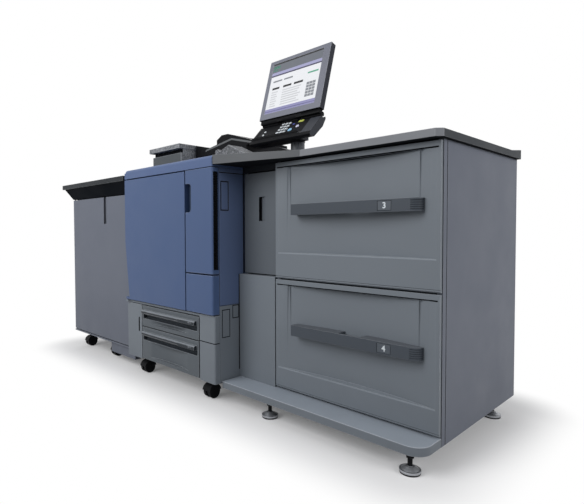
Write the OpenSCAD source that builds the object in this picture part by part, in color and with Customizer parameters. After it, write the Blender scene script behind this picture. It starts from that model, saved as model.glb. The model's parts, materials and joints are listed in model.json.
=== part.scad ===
// Digital production printer line: stacker on the left, print engine in the
// middle, relay with a work table, and a two-drawer paper feeder on the right.
// X runs along the line to the right, Y to the back, Z up. All sizes in mm.

/* [Paper feeder] */
// Width of the feeder cabinet
feeder_w = 723; // [600:1:900]
// Depth of the feeder cabinet from the drawer faces to the back
feeder_d = 726; // [600:1:850]
// Height of the feeder's work surface above the floor
feeder_h = 1107; // [1000:1:1250]
// Thickness of the work surface
surface_t = 27; // [18:1:40]
// Overhang of the work surface at the right side
surface_overhang = 15; // [0:1:30]
// Legs of the work surface's clipped front corner
surface_corner = 20; // [5:1:30]
// Height of the rear stop at the back edge of the work surface
rear_stop_h = 12; // [6:1:20]
// Depth of the rear stop's ramp
rear_stop_d = 110; // [60:1:150]
// How far the work table reaches over the feeder
table_overlap = 169; // [120:1:240]
// How far the work surface stands out in front of the drawer faces
surface_front = 36; // [20:1:50]
// Top of the base plate above the floor
base_top = 104; // [95:1:130]
// Thickness of the base plate
base_t = 31; // [20:1:40]
// How far the base plate stands out in front of the drawer faces
base_front = 113; // [60:1:130]
// Radius of the base plate's front corner
corner_r = 60; // [20:1:90]
// Height of the gap between the two paper drawers
drawer_split = 579; // [500:1:660]
// Thickness of the sheet-metal sides of the cabinet
side_t = 18; // [12:1:25]
// Width of the front frame on the cabinet's side, in front of its groove
side_frame = 45; // [30:1:70]
// Radius of a levelling foot's disc
foot_r = 34.5; // [25:0.5:40]
// Thickness of a levelling foot's rubber pad
pad_t = 6; // [4:0.5:10]

/* [Paper drawers] */
// Thickness of a drawer front at its flush rim
front_t = 12; // [8:1:16]
// Depth of the concave scoop in a drawer front at its middle
scoop_depth = 34; // [20:1:45]
// Height of the flush band below the scoop of drawer 3
scoop_band_3 = 110; // [80:1:150]
// Height of the flush band below the scoop of drawer 4
scoop_band_4 = 90; // [70:1:150]
// Height of the lip above the scoop
lip_h = 22; // [15:1:35]
// Underside of the handle of drawer 3 above the floor
handle_3_z = 849; // [800:1:950]
// Underside of the handle of drawer 4 above the floor
handle_4_z = 352; // [300:1:420]
// Height of a handle bar
handle_h = 44; // [30:1:60]
// Thickness of a handle bar
handle_t = 12; // [8:1:18]
// Thickness of the shelf along the top of a handle
handle_shelf = 8; // [5:1:12]
// How far a handle bar stands out of the drawer face
handle_out = 25; // [15:1:30]
// Radius of a handle's rounded right end
handle_bend = 34; // [28:1:45]
// Width of the open hand notch in a handle's shelf
notch_w = 96; // [80:1:130]
// Width of the recess for a handle's number plate
plate_w = 54; // [40:1:70]
// Ribs round a handle's right end
rib_count = 5; // [3:1:7]
// Wall thickness of a paper tray
tray_wall = 6; // [4:1:10]
// Free gap between the cabinet and what moves past it
run_gap = 6; // [5:0.5:8]
// Gap between a slide rail and its runner
rail_gap = 0.3; // [0.2:0.1:0.5]

/* [Relay] */
// Width of the relay between the engine and the feeder
relay_w = 227; // [200:1:300]
// Top of the lower relay cover
relay_split = 584; // [500:1:660]
// How far the upper relay door is set back from the drawer faces
relay_setback = 30; // [20:1:60]
// Width of the relay door's finger slot
relay_slot_w = 44; // [30:1:60]
// Height of the relay door's finger slot
relay_slot_h = 109; // [80:1:140]

/* [Print engine] */
// Width of the print engine
engine_w = 761; // [680:1:850]
// Depth of the print engine from its doors to the back
engine_d = 992; // [850:1:1050]
// How far the engine doors stand in front of the drawer faces
engine_front = 162; // [150:1:200]
// Top of the engine's cap above the floor
engine_h = 1121; // [1090:1:1250]
// Height of the cap's rounded front band
cap_h = 49; // [40:1:60]
// Lower edge of the front doors
door_bottom = 407; // [395:1:430]
// Underside of the engine above the floor
engine_bottom = 92; // [85:1:110]
// Width of the narrow cover at the right of the big door
narrow_w = 200; // [160:1:240]
// Seam between the narrow cover and the panel below it
narrow_seam = 588; // [540:1:640]
// Thickness of the engine's doors and covers
door_t = 32; // [24:1:36]
// Width of the cassette fronts
cassette_w = 494; // [440:1:520]
// Seam between the two cassettes
cassette_seam = 272; // [250:1:290]
// Height of a cassette's grip rail
rail_grip_h = 22; // [16:1:28]
// Length of the thicker block at a grip rail's right end
rail_block = 130; // [80:1:160]
// Radius of the covers' front right corner
cover_r = 8; // [3:1:8]
// Lower edge of the side louvre
louvre_bottom = 610; // [600:1:800]
// Distance from one louvre slat to the next
louvre_pitch = 11; // [8:0.5:16]

/* [Stacker] */
// Width of the stacker cabinet
stacker_w = 785; // [650:1:850]
// Depth of the stacker cabinet behind its door
stacker_d = 700; // [600:1:800]
// How far the stacker's door stands in front of the drawer faces
stacker_front = 113; // [90:1:130]
// Top of the stacker cabinet, under the dark cornice
stacker_h = 1000; // [930:1:1040]
// Top of the stacker's surface
stacker_top = 1096; // [1070:1:1140]
// Thickness of the stacker's surface
stacker_top_t = 28; // [20:1:36]
// Overhang of the stacker's surface at the front and left
stacker_overhang = 53; // [30:1:70]
// Underside of the stacker cabinet above the floor
stacker_bottom = 113; // [100:1:125]

/* [Devices on the engine] */
// Width of the output box
box_w = 271; // [220:1:290]
// Height of the output box under its lid
box_h = 104; // [80:1:120]
// Depth of the scanner
scanner_d = 410; // [380:1:440]
// Height of the scanner
scanner_h = 70; // [50:1:90]
// Height of the document feeder above the scanner
head_h = 114; // [105:1:130]

/* [Control panel] */
// Place of the panel's middle, in from the feeder's left side
panel_in = 23; // [0:1:60]
// Radius of the panel's post
post_r = 30; // [24:1:40]
// Depth of the flutes in the panel's post
flute_d = 2; // [1:0.5:3]
// Width of the monitor and of the key housing
panel_w = 345; // [300:1:380]
// Height of the monitor
monitor_h = 295; // [250:1:330]
// Thickness of the monitor
monitor_t = 30; // [24:1:40]
// Lean of the monitor from the vertical, in degrees
monitor_lean = 16; // [8:1:20]
// Height of the monitor's lower edge above the floor
monitor_z = 1288; // [1280:1:1330]
// Slope of the key housing from the horizontal, in degrees
key_slope = 45; // [40:1:50]
// Length of the sloping key face
key_face = 112; // [105:1:125]
// Radius of the barrel that the monitor tilts on
barrel_r = 10; // [8:0.5:11]

/* [Hidden] */
eps = 0.01;
$fn = 48;

// The line is drawn from the feeder's right side (x = 0), the drawer faces
// (y = 0) and the floor (z = 0), then centred over its own footprint.
cassette_out = 6;
pin_r = 4;                 // hinge pins and the bores they turn in
bore_r = pin_r + rail_gap;
engine_right = -feeder_w - relay_w;
engine_left = engine_right - engine_w;
stacker_right = engine_left;
stacker_left = stacker_right - stacker_w;
stacker_edge = stacker_right - 2 * run_gap; // right edge of its door and surface
line_left = stacker_left - stacker_overhang;
line_right = surface_overhang;
line_front = -engine_front - cassette_out;
line_back = engine_d - engine_front;

surface_z = feeder_h - surface_t;
table_break = -feeder_w + table_overlap; // seam between the work surface and the table
drawer_top = surface_z - run_gap;
carcass_y = front_t + run_gap;

module placed()
    translate([-(line_left + line_right) / 2, -(line_front + line_back) / 2, 0])
        children();

// Box between two corners
module block(x, y, z)
    translate([x[0], y[0], z[0]])
        cube([x[1] - x[0], y[1] - y[0], z[1] - z[0]]);

// Outline in Y and Z, drawn out along X
module side_profile(x, points)
    translate([x[0], 0, 0]) rotate([90, 0, 90]) linear_extrude(x[1] - x[0])
        polygon(points);

// Outline in X and Z, drawn out along Y
module front_profile(y, points)
    translate([0, y[1], 0]) rotate([90, 0, 0]) linear_extrude(y[1] - y[0])
        polygon(points);

// Upright slab whose front right corner is rounded
module rounded_slab(x, y, z, r)
    translate([0, 0, z[0]]) linear_extrude(z[1] - z[0]) union() {
        translate([x[0], y[0]]) square([x[1] - x[0] - r, y[1] - y[0]]);
        translate([x[0], y[0] + r]) square([x[1] - x[0], y[1] - y[0] - r]);
        translate([x[1] - r, y[0] + r]) circle(r = r);
    }

// Grooves that draw a rectangle on a right side or on a back
groove_w = 4;
groove_d = 1.5;
module side_groove(x, y, z) difference() {
    block([x - groove_d, x + 1], y, z);
    block([x - groove_d - 1, x + 2], [y[0] + groove_w, y[1] - groove_w],
          [z[0] + groove_w, z[1] - groove_w]);
}

module back_groove(x, y, z) difference() {
    block(x, [y - groove_d, y + 1], z);
    block([x[0] + groove_w, x[1] - groove_w], [y - groove_d - 1, y + 2],
          [z[0] + groove_w, z[1] - groove_w]);
}

// ---------------------------------------------------------------- feeder

module feeder_right_side() color("#6f757e") placed() difference() {
    block([-side_t, 0], [carcass_y, feeder_d], [base_top - base_t, surface_z]);
    // groove between the front frame and the side sheet
    block([-groove_d, 1], [side_frame, side_frame + 3], [base_top - base_t - 1, surface_z + 1]);
}

module feeder_left_side() color("#6f757e") placed()
    block([-feeder_w, -feeder_w + side_t], [carcass_y, feeder_d], [base_top, surface_z]);

panel_margin = 40; // from a back's edges to the outline of its loose panel
module feeder_back() color("#6f757e") placed() difference() {
    block([-feeder_w + side_t, -side_t], [feeder_d - side_t, feeder_d], [base_top, surface_z]);
    back_groove([-feeder_w + panel_margin, -panel_margin], feeder_d,
                [base_top + panel_margin, surface_z - panel_margin]);
}

module feeder_top_panel() color("#3a3d42") placed()
    block([-feeder_w + side_t, -side_t], [carcass_y, feeder_d - side_t],
          [surface_z - side_t, surface_z]);

shelf_t = 12;
module feeder_shelf() color("#3a3d42") placed()
    block([-feeder_w + side_t, -side_t], [carcass_y, feeder_d - side_t],
          [drawer_split - shelf_t / 2, drawer_split + shelf_t / 2]);

module feeder_base() color("#868c94") placed() {
    translate([0, 0, base_top - base_t]) linear_extrude(base_t) union() {
        translate([engine_right + run_gap, -base_front])
            square([-engine_right - run_gap - corner_r, base_front + carcass_y]);
        translate([-corner_r - eps, -base_front + corner_r])
            square([corner_r + eps, base_front - corner_r + carcass_y]);
        translate([-corner_r, -base_front + corner_r])
            circle(r = corner_r);
        translate([-feeder_w, 0])
            square([feeder_w - side_t, feeder_d]);
    }
}

module work_surface() color("#5a5d62") placed() difference() {
    union() {
        block([table_break, surface_overhang], [-surface_front, feeder_d], [surface_z, feeder_h]);
        // rear stop: a ramp that rises towards the back edge
        side_profile([table_break, surface_overhang],
                     [[feeder_d - rear_stop_d, feeder_h - eps], [feeder_d, feeder_h - eps],
                      [feeder_d, feeder_h + rear_stop_h]]);
    }
    // clipped front corner
    translate([surface_overhang, -surface_front, feeder_h - surface_t / 2])
        rotate(45) cube([surface_corner * sqrt(2), surface_corner * sqrt(2), 2 * surface_t],
                        center = true);
}

// Rail pairs: one fixed member on each cabinet side for each drawer
rail_h = 36;
rail_t = 8;
rail_up = 60; // a rail's middle above its drawer's lower edge
drawer_3_z = [drawer_split + 3, drawer_top];
drawer_4_z = [base_top + run_gap, drawer_split - 3];
function rail_z(zz) = zz[0] + rail_up;

module drawer_rails() color("#9a9ea4") placed()
    for (zz = [drawer_3_z, drawer_4_z])
        for (x = [-side_t - rail_t, -feeder_w + side_t])
            block([x, x + rail_t], [carcass_y + 45, feeder_d - side_t - 10],
                  [rail_z(zz) - rail_h / 2, rail_z(zz) + rail_h / 2]);

// Drawer front: a flush rim with a shell behind it, hollowed by one large
// upright cylinder so that the face is a concave scoop, deepest in the middle.
front_w = feeder_w - run_gap;
pan_inset = side_t + rail_t + run_gap;
scoop_margin = 12; // flush rim left and right of the scoop
scoop_chord = front_w - 2 * scoop_margin;
scoop_r = (scoop_chord * scoop_chord / 4 + scoop_depth * scoop_depth) / (2 * scoop_depth);
fold = 5;     // chamfer along the lower edge
fold_up = 9;  // fold line above the lower edge
lip_groove = 5;

module drawer_front(zz, band) {
    scoop_z = [zz[0] + band, zz[1] - lip_h];
    difference() {
        union() {
            side_profile([-front_w, 0], [[0, zz[0] + fold], [fold, zz[0]], [front_t, zz[0]],
                                         [front_t, zz[1]], [0, zz[1]]]);
            block([-front_w + pan_inset - run_gap, -pan_inset], [front_t - eps, scoop_depth + front_t],
                  [zz[0] + 2 * run_gap, zz[1] - lip_h]);
        }
        translate([-front_w / 2, scoop_depth - scoop_r, scoop_z[0]])
            cylinder(r = scoop_r, h = scoop_z[1] - scoop_z[0], $fn = 180);
        // groove that parts the lip from the scoop
        block([-front_w + scoop_margin - groove_w, groove_w - scoop_margin], [-1, lip_groove],
              [scoop_z[1] - 1, scoop_z[1] + groove_w]);
        // fold line, round both ends
        block([-front_w - 1, 1], [-1, groove_d / 2], [zz[0] + fold_up, zz[0] + fold_up + groove_d]);
        block([-groove_d / 2, 1], [-1, front_t + 1], [zz[0] + fold_up, zz[0] + fold_up + groove_d]);
    }
}

// Handle: a grip bar in front of the scoop, under a shelf that reaches back to
// the scooped face on both sides of an open notch for the hand. Its right end
// is bent back and ribbed.
handle_x = [-front_w + 106, -58];
bend_x = handle_x[1] - handle_bend;
channel_x = [handle_x[0] + 14, bend_x - 28];
plate_x = [channel_x[1] - 94, channel_x[1] - 94 + plate_w];
notch_x = [plate_x[0] - 75 - notch_w, plate_x[0] - 75];
plate_rim = 5;
plate_depth = 1.2;
rib_w = 3;

module rib_groove() difference() {
    cylinder(r = handle_bend + 1, h = rib_w);
    translate([0, 0, -1]) cylinder(r = handle_bend - groove_d, h = rib_w + 2);
    block([-handle_bend - 2, 0], [-handle_bend - 2, handle_bend + 2], [-1, rib_w + 1]);
    block([-1, handle_bend + 2], [0, handle_bend + 2], [-1, rib_w + 1]);
}

module drawer_handle(z0) {
    z1 = z0 + handle_h;
    back = -handle_out + handle_t;
    difference() {
        translate([0, 0, z0]) linear_extrude(handle_h) intersection() {
            translate([-front_w / 2, scoop_depth - scoop_r]) circle(r = scoop_r - rail_gap, $fn = 180);
            union() {
                translate([handle_x[0], -handle_out])
                    square([bend_x - handle_x[0], handle_out + scoop_depth]);
                translate([bend_x, handle_bend - handle_out]) circle(r = handle_bend);
                translate([bend_x - eps, handle_bend - handle_out])
                    square([handle_bend + eps, scoop_depth]);
            }
        }
        // finger channel, open below
        block(channel_x, [back, scoop_depth + 1], [z0 - 1, z1 - handle_shelf]);
        // hand notch, open above and below
        block(notch_x, [back, scoop_depth + 1], [z0 - 1, z1 + 1]);
        // recess for the number plate
        block(plate_x, [-handle_out - 1, -handle_out + plate_depth], [z0 + plate_rim, z1 - plate_rim]);
        for (i = [1:rib_count])
            translate([bend_x, handle_bend - handle_out, z0 + i * handle_h / (rib_count + 1) - rib_w / 2])
                rib_groove();
    }
}

runner_t = 5;
tray_lift = 22; // a tray's floor above its drawer's lower edge
tray_h = 378;
module drawer_tray(zz) {
    x = [-feeder_w + side_t + rail_t + rail_gap, -side_t - rail_t - rail_gap];
    box = [x[0] + runner_t, x[1] - runner_t];
    y = [scoop_depth + front_t, feeder_d - side_t - 20];
    z = [zz[0] + tray_lift, zz[0] + tray_lift + tray_h];
    difference() {
        block(box, y, z);
        block([box[0] + tray_wall, box[1] - tray_wall], [y[0] + tray_wall, y[1] - tray_wall],
              [z[0] + tray_wall, z[1] + 1]);
    }
    for (rx = [[x[0], box[0] + eps], [box[1] - eps, x[1]]])
        block(rx, [y[0] + 20, y[1] - 10], [rail_z(zz) - rail_h / 2 + 4, rail_z(zz) + rail_h / 2 - 4]);
}

module drawer_3_front() color("#757c85") placed() drawer_front(drawer_3_z, scoop_band_3);
module drawer_4_front() color("#757c85") placed() drawer_front(drawer_4_z, scoop_band_4);
module drawer_3_handle() color("#474e58") placed() drawer_handle(handle_3_z);
module drawer_4_handle() color("#474e58") placed() drawer_handle(handle_4_z);
module drawer_3_tray() color("#b4b7bb") placed() drawer_tray(drawer_3_z);
module drawer_4_tray() color("#b4b7bb") placed() drawer_tray(drawer_4_z);

// Levelling feet: stud, lock nut and a dished steel disc on a rubber pad
foot_places = [[-63, -70], [-feeder_w + 31, -65], [-48, feeder_d - 116], [-feeder_w + 31, feeder_d - 116]];
disc_t = 7;
stud_r = 8;
nut_z = 44;
nut_r = 14;
nut_h = 11;

module levelling_feet() color("#b9bcc0") placed()
    for (p = foot_places) translate([p[0], p[1], pad_t]) {
        cylinder(r = foot_r, h = disc_t);
        translate([0, 0, disc_t - eps]) cylinder(r1 = foot_r - 5, r2 = 14, h = 10);
        translate([0, 0, disc_t]) cylinder(r = stud_r, h = base_top - base_t - pad_t - disc_t);
        // lock nut
        translate([0, 0, nut_z]) cylinder(r = nut_r, h = nut_h, $fn = 6);
    }

module foot_pads() color("#1c1c1e") placed()
    for (p = foot_places) translate([p[0], p[1], 0]) cylinder(r = foot_r - 1, h = pad_t);

// ---------------------------------------------------------------- relay

relay_x = [engine_right, -feeder_w];
relay_door_t = 18;
relay_door_x = [relay_x[0] + 10, relay_x[1] - run_gap];
relay_door_z = [relay_split + run_gap, surface_z - 33];
relay_door_back = relay_setback + relay_door_t;
relay_body_y = relay_door_back + 16;
relay_axis = [relay_door_x[0] + 10, relay_setback + relay_door_t / 2];

module relay_body() color("#2b2d31") placed() {
    block(relay_x, [relay_body_y, feeder_d],
          [base_top, surface_z]);
    // header that carries the door's upper pin
    difference() {
        block(relay_x, [relay_setback, relay_body_y + eps],
              [relay_door_z[1] + run_gap, surface_z]);
        translate([relay_axis[0], relay_axis[1], relay_door_z[1]]) cylinder(r = bore_r, h = 18);
    }
}

module relay_lower_cover() color("#6c737c") placed() difference() {
    block(relay_x, [0, relay_body_y], [base_top, relay_split]);
    translate([relay_axis[0], relay_axis[1], relay_split - 12]) cylinder(r = bore_r, h = 20);
}

// The door has an upright finger slot: deep at its left, rising to the face at its right
relay_slot_x = relay_x[0] + 103;
relay_slot_z = 829;
relay_slot_d = 12;
module relay_door() color("#5c6268") placed() {
    difference() {
        block(relay_door_x, [relay_setback, relay_door_back], relay_door_z);
        translate([relay_slot_x, relay_setback, relay_slot_z]) linear_extrude(relay_slot_h)
            polygon([[0, -1], [0, relay_slot_d], [relay_slot_w / 5, relay_slot_d],
                     [relay_slot_w, 0], [relay_slot_w, -1]]);
    }
    for (z = [relay_door_z[0] - run_gap - 10, relay_door_z[1] - eps])
        translate([relay_axis[0], relay_axis[1], z]) cylinder(r = pin_r, h = 16);
}

// Work table: widens towards the engine and thickens to meet its cap
table_rise = engine_h - feeder_h;
function table_z(x) = feeder_h + table_rise * (x - table_break) / (engine_right - table_break);

module work_table() color("#6a6e74") placed() difference() {
    hull() {
        block([table_break - 1, table_break], [-surface_front, feeder_d], [surface_z, feeder_h]);
        block([engine_right, engine_right + 1], [-engine_front + 4, feeder_d], [surface_z, engine_h]);
    }
    translate([post_at[0], post_at[1], surface_z - 1]) cylinder(r = post_r + 0.3, h = 60);
}

// ---------------------------------------------------------------- engine

body_y = -engine_front + door_t + 10; // front of the engine's carcass
base_z = door_bottom; // top of the engine's base
cap_z = engine_h - cap_h;
door_z = [door_bottom, cap_z - 6];
door_x = [engine_left, engine_right - narrow_w];
door_taper = 40;
hinge_at = [engine_left + 8, -engine_front + 8];

side_panel_t = 4;
engine_back = line_back - 12;
module engine_body() color("#3c4a6b") placed() difference() {
    block([engine_left, engine_right - side_panel_t], [body_y, engine_back], [base_z, cap_z]);
    back_groove([engine_left + panel_margin, engine_right - panel_margin], engine_back,
                [base_z + panel_margin, cap_z - panel_margin]);
}

cap_r = 16;
module engine_cap() color("#5a6c98") placed() difference() {
    union() {
        block([engine_left, engine_right], [-engine_front, line_back], [cap_z, engine_h - cap_r]);
        block([engine_left + cap_r, engine_right], [-engine_front + cap_r, line_back], [cap_z, engine_h]);
        translate([engine_left + cap_r, -engine_front + cap_r, engine_h - cap_r])
            rotate([0, 90, 0]) cylinder(r = cap_r, h = engine_w - cap_r);
        translate([engine_left + cap_r, -engine_front + cap_r, engine_h - cap_r])
            rotate([-90, 0, 0]) cylinder(r = cap_r, h = engine_d - cap_r);
        translate([engine_left + cap_r, -engine_front + cap_r, engine_h - cap_r])
            sphere(r = cap_r);
    }
    translate([hinge_at[0], hinge_at[1], cap_z - 5]) cylinder(r = bore_r, h = 14);
}

module engine_front_door() color("#54658a") placed() {
    translate([0, -engine_front + door_t, 0]) rotate([90, 0, 0]) linear_extrude(door_t)
        polygon([[door_x[0] + door_taper, door_z[0]], [door_x[1] - run_gap / 2, door_z[0]],
                 [door_x[1] - run_gap / 2, door_z[1]], [door_x[0], door_z[1]],
                 [door_x[0], door_z[0] + 320]]);
    translate([hinge_at[0], hinge_at[1], door_z[1] - eps]) cylinder(r = pin_r, h = 14);
    // lower hinge arm and its pin
    block([door_x[0], door_x[0] + door_taper + 20], [-engine_front + 1, -engine_front + 15],
          [door_z[0], door_z[0] + 12]);
    translate([hinge_at[0], hinge_at[1], door_z[0] - 14]) cylinder(r = pin_r, h = 20);
}

grip_z = [873, 1005];
seam = 3; // half of the seam between two covers
louvre_d = 10;
louvre_y = [-engine_front + cover_r, body_y - 5];
louvre_z = [louvre_bottom, cap_z - 22];
module engine_narrow_cover() color("#5c6f99") placed() {
    x = [door_x[1] + seam, engine_right];
    difference() {
        rounded_slab(x, [-engine_front, body_y], [narrow_seam + seam, cap_z - seam], cover_r);
        // finger recess beside the door seam
        translate([0, -engine_front + 24, 0]) rotate([90, 0, 0]) linear_extrude(30) union() {
            translate([x[0] - 1, grip_z[0] + 18]) square([44, grip_z[1] - grip_z[0] - 36]);
            translate([x[0] - 1, grip_z[0]]) square([26, grip_z[1] - grip_z[0]]);
            for (z = [grip_z[0] + 18, grip_z[1] - 18])
                translate([x[0] + 25, z]) circle(r = 18);
        }
        // seat of the side louvre
        block([engine_right - louvre_d, engine_right + 1], louvre_y, louvre_z);
    }
}

module engine_lower_cover() color("#54658a") placed()
    rounded_slab([door_x[1] + seam, engine_right], [-engine_front, body_y],
                 [door_bottom, narrow_seam - seam], cover_r);

// Side louvre: slanted slats on a backing, parted by one upright bar
module side_louvre() color("#101113") placed() {
    y = [louvre_y[0] + rail_gap, louvre_y[1] - rail_gap];
    z = [louvre_z[0] + rail_gap, louvre_z[1] - rail_gap];
    back = engine_right - louvre_d + seam; // front of the backing
    middle = (y[0] + y[1]) / 2;
    slat_t = 1.5;
    slat_fall = 5;
    block([engine_right - louvre_d, back], y, z);
    block([back - eps, engine_right - 1], [middle - 1, middle + 1], z);
    for (s = [z[0] + slat_fall : louvre_pitch : z[1] - slat_t])
        front_profile(y, [[back - eps, s], [engine_right - slat_t, s - slat_fall],
                          [engine_right - slat_t, s - slat_fall + slat_t], [back - eps, s + slat_t]]);
}

// Side panel with a seam below its top band and the outline of a hatch
side_skirt = 40;
module engine_side_panel() color("#3c4666") placed() difference() {
    block([engine_right - side_panel_t, engine_right], [body_y, engine_back],
          [base_z + side_skirt, cap_z - seam]);
    block([engine_right - groove_d, engine_right + 1], [body_y - 1, engine_back + 1],
          [cap_z - 25, cap_z - 25 + seam]);
    side_groove(engine_right, [body_y + 9, body_y + 57], [grip_z[0] + 4, grip_z[1] + 5]);
}

cass_x0 = engine_left + 150;
cass_inset = 8;
base_front_y = -engine_front + 12; // front of the lower covers and cassettes
right_cover_w = 110;
module engine_base() color("#5f656c") placed() difference() {
    base_frame();
    // outlines of two hatches in the right side
    side_groove(engine_right, [body_y + 13, body_y + 62], [cassette_seam + 26, base_z + side_skirt / 2]);
    side_groove(engine_right, [body_y + 77, body_y + 118], [base_z - 27, base_z + side_skirt - 5]);
}

module base_frame() {
    // carcass round the two cassettes: sides, floor, deck and back
    x = [cass_x0 - run_gap, cass_x0 + cassette_w + run_gap];
    y = [body_y + 20, 500];
    block([engine_left, x[0]], [body_y, engine_back], [engine_bottom, base_z]);
    block([x[1], engine_right], [body_y, engine_back], [engine_bottom, base_z]);
    block([x[0] - eps, x[1] + eps], [y[1], engine_back], [engine_bottom, base_z]);
    block([x[0] - eps, x[1] + eps], [y[0], y[1] + eps], [engine_bottom, engine_bottom + 8]);
    block([x[0] - eps, x[1] + eps], [y[0], y[1] + eps], [base_z - 12, base_z]);
    // ledges that the cassettes run on
    for (z = [cassette_1_z[0] + 24, cassette_2_z[0] + 24]) {
        block([x[0] - eps, cass_x0 + cass_inset - rail_gap], [y[0], y[1] + eps], [z, z + 20]);
        block([cass_x0 + cassette_w - cass_inset + rail_gap, x[1] + eps], [y[0], y[1] + eps], [z, z + 20]);
    }
    // skirt below the side panel
    block([engine_right - side_panel_t, engine_right], [body_y, engine_back],
          [base_z - eps, base_z + side_skirt - seam]);
    // front bar between the doors and the cassettes
    block([engine_left + 24, engine_right - right_cover_w], [base_front_y + 2, body_y + eps],
          [door_bottom - 16, door_bottom - run_gap]);
    // lower hinge bracket of the big door
    difference() {
        block([engine_left, engine_left + 24], [-engine_front, body_y + eps],
              [door_bottom - 14, door_bottom - run_gap]);
        translate([hinge_at[0], hinge_at[1], door_bottom - 20]) cylinder(r = bore_r, h = 20);
    }
}

module engine_left_cover() color("#666d75") placed() difference() {
    block([engine_left, cass_x0 - run_gap], [base_front_y, body_y], [engine_bottom, door_bottom - 20]);
    // upright slot
    block([engine_left + 112, engine_left + 124], [base_front_y - 1, base_front_y + 12], [240, 317]);
}

module engine_right_cover() color("#666d75") placed() difference() {
    rounded_slab([engine_right - right_cover_w, engine_right], [base_front_y, body_y],
                 [engine_bottom, door_bottom - 5], cover_r);
    // seam in line with the cassettes' seam, round the front and the side
    block([engine_right - right_cover_w - 1, engine_right + 1], [base_front_y - 1, base_front_y + seam],
          [cassette_seam + seam, cassette_seam + seam + groove_w]);
    block([engine_right - seam, engine_right + 1], [base_front_y - 1, body_y + 1],
          [cassette_seam + seam, cassette_seam + seam + groove_w]);
}

cassette_t = 42;

// Cassettes: scooped fronts with a dark grip rail along the top
cassette_1_z = [cassette_seam + 3, 385];
cassette_2_z = [engine_bottom + 6, cassette_seam - 3];

cass_scoop_r = 700;
cass_scoop = 20;     // depth of the scoop in a cassette's front
rail_down = 45;      // from a cassette's top to the underside of its grip rail
grip_room = 24;      // height and depth of the hand recess under the rail
module cassette_front(zz) {
    x = [cass_x0, cass_x0 + cassette_w];
    y = base_front_y;
    under = zz[1] - rail_down;
    difference() {
        block(x, [y, y + cassette_t], zz);
        translate([(x[0] + x[1]) / 2, y + cass_scoop - cass_scoop_r, zz[0] + 18])
            cylinder(r = cass_scoop_r, h = under - zz[0] - 45, $fn = 180);
        // hand recess under the grip rail
        block([x[0] + 12, x[1] - 12], [y - 1, y + grip_room], [under - grip_room, under]);
    }
    // grip rail with bevelled edges, and a thicker block at its right end
    front = -engine_front - cassette_out;
    rail_z = [under + 2, under + 2 + rail_grip_h];
    side_profile([x[0] + 16, x[1] - 16],
                 [[y + eps, rail_z[0]], [front + 5, rail_z[0]], [front + 2, rail_z[0] + 5],
                  [front + 2, rail_z[1] - 6], [front + 6, rail_z[1]], [y + eps, rail_z[1]]]);
    block([x[1] - 16 - rail_block, x[1] - 16], [front, y + eps], [rail_z[0] + 2, rail_z[1] - 4]);
}

module cassette_tray(zz) {
    x = [cass_x0 + cass_inset, cass_x0 + cassette_w - cass_inset];
    y = [base_front_y + cassette_t, 440];
    z = [zz[0] + 8, zz[1] - 30];
    difference() {
        block(x, y, z);
        block([x[0] + 4, x[1] - 4], [y[0] + 4, y[1] - 4], [z[0] + 4, z[1] + 1]);
    }
}

module cassette_1_front() color("#6b727b") placed() cassette_front(cassette_1_z);
module cassette_2_front() color("#6b727b") placed() cassette_front(cassette_2_z);
module cassette_1_tray() color("#b4b7bb") placed() cassette_tray(cassette_1_z);
module cassette_2_tray() color("#b4b7bb") placed() cassette_tray(cassette_2_z);

// Twin-wheel caster: stem, hood over both wheels, axle and two wheels
module caster(height, r = 32) {
    translate([0, 0, r]) rotate([0, 90, 0]) {
        for (s = [-1, 1]) translate([0, 0, s * 15]) cylinder(r = r, h = 16, center = true);
        cylinder(r = 9, h = 46, center = true);
        cylinder(r = r - 8, h = 14.1, center = true);
    }
    intersection() {
        translate([0, 0, r]) rotate([0, 90, 0]) difference() {
            cylinder(r = r + 5, h = 52, center = true);
            cylinder(r = r + 1.5, h = 46.4, center = true);
        }
        translate([-40, -60, r + 6]) cube([80, 120, 60]);
    }
    translate([0, 0, r + 30]) cylinder(r = 10, h = height - r - 30);
}

module engine_casters() color("#17181a") placed()
    for (x = [engine_left + 108, engine_right - 96])
        for (y = [-90, line_back - 90])
            translate([x, y, 0]) caster(engine_bottom);

// -------------------------------------------------- devices on the engine

box_x = [engine_left + 40, engine_left + 40 + box_w];
box_lid_t = 25;
band_h = 22; // dark band under the box's lid
module output_box() color("#4f5458") placed() difference() {
    block(box_x, [0, 560], [engine_h, engine_h + box_h]);
    block([box_x[0] - 1, box_x[1] + 1], [-1, 14], [engine_h + box_h - band_h, engine_h + box_h + 1]);
}

module output_box_lid() color("#8d9094") placed()
    block([box_x[0] - 14, box_x[1] + 4], [-16, 566], [engine_h + box_h, engine_h + box_h + box_lid_t]);

scan_x = [box_x[1] + 15, engine_right - 40];
scan_y = [500 - scanner_d, 500];
scan_top = engine_h + scanner_h;
lid_axis = [scan_y[1] + 14, scan_top - 6];
lug_x = [scan_x[0] + 120, scan_x[0] + 215];
glass_x = [scan_x[0] + 20, scan_x[1] - 20];
glass_y = [scan_y[0] + 30, scan_y[1] - 40];
glass_seat = 4;

module scanner() color("#17181a") placed() difference() {
    union() {
        block(scan_x, scan_y, [engine_h, scan_top]);
        // ears and hinge pin
        for (x = [scan_x[0] + 40, scan_x[1] - 60])
            block([x, x + 20], [scan_y[1] - eps, lid_axis[0] + 10], [lid_axis[1] - 34, lid_axis[1] + 5.5]);
        translate([scan_x[0] + 34, lid_axis[0], lid_axis[1]]) rotate([0, 90, 0])
            cylinder(r = pin_r, h = scan_x[1] - scan_x[0] - 68);
    }
    block(glass_x, glass_y, [scan_top - glass_seat, scan_top + 1]);
}

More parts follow.
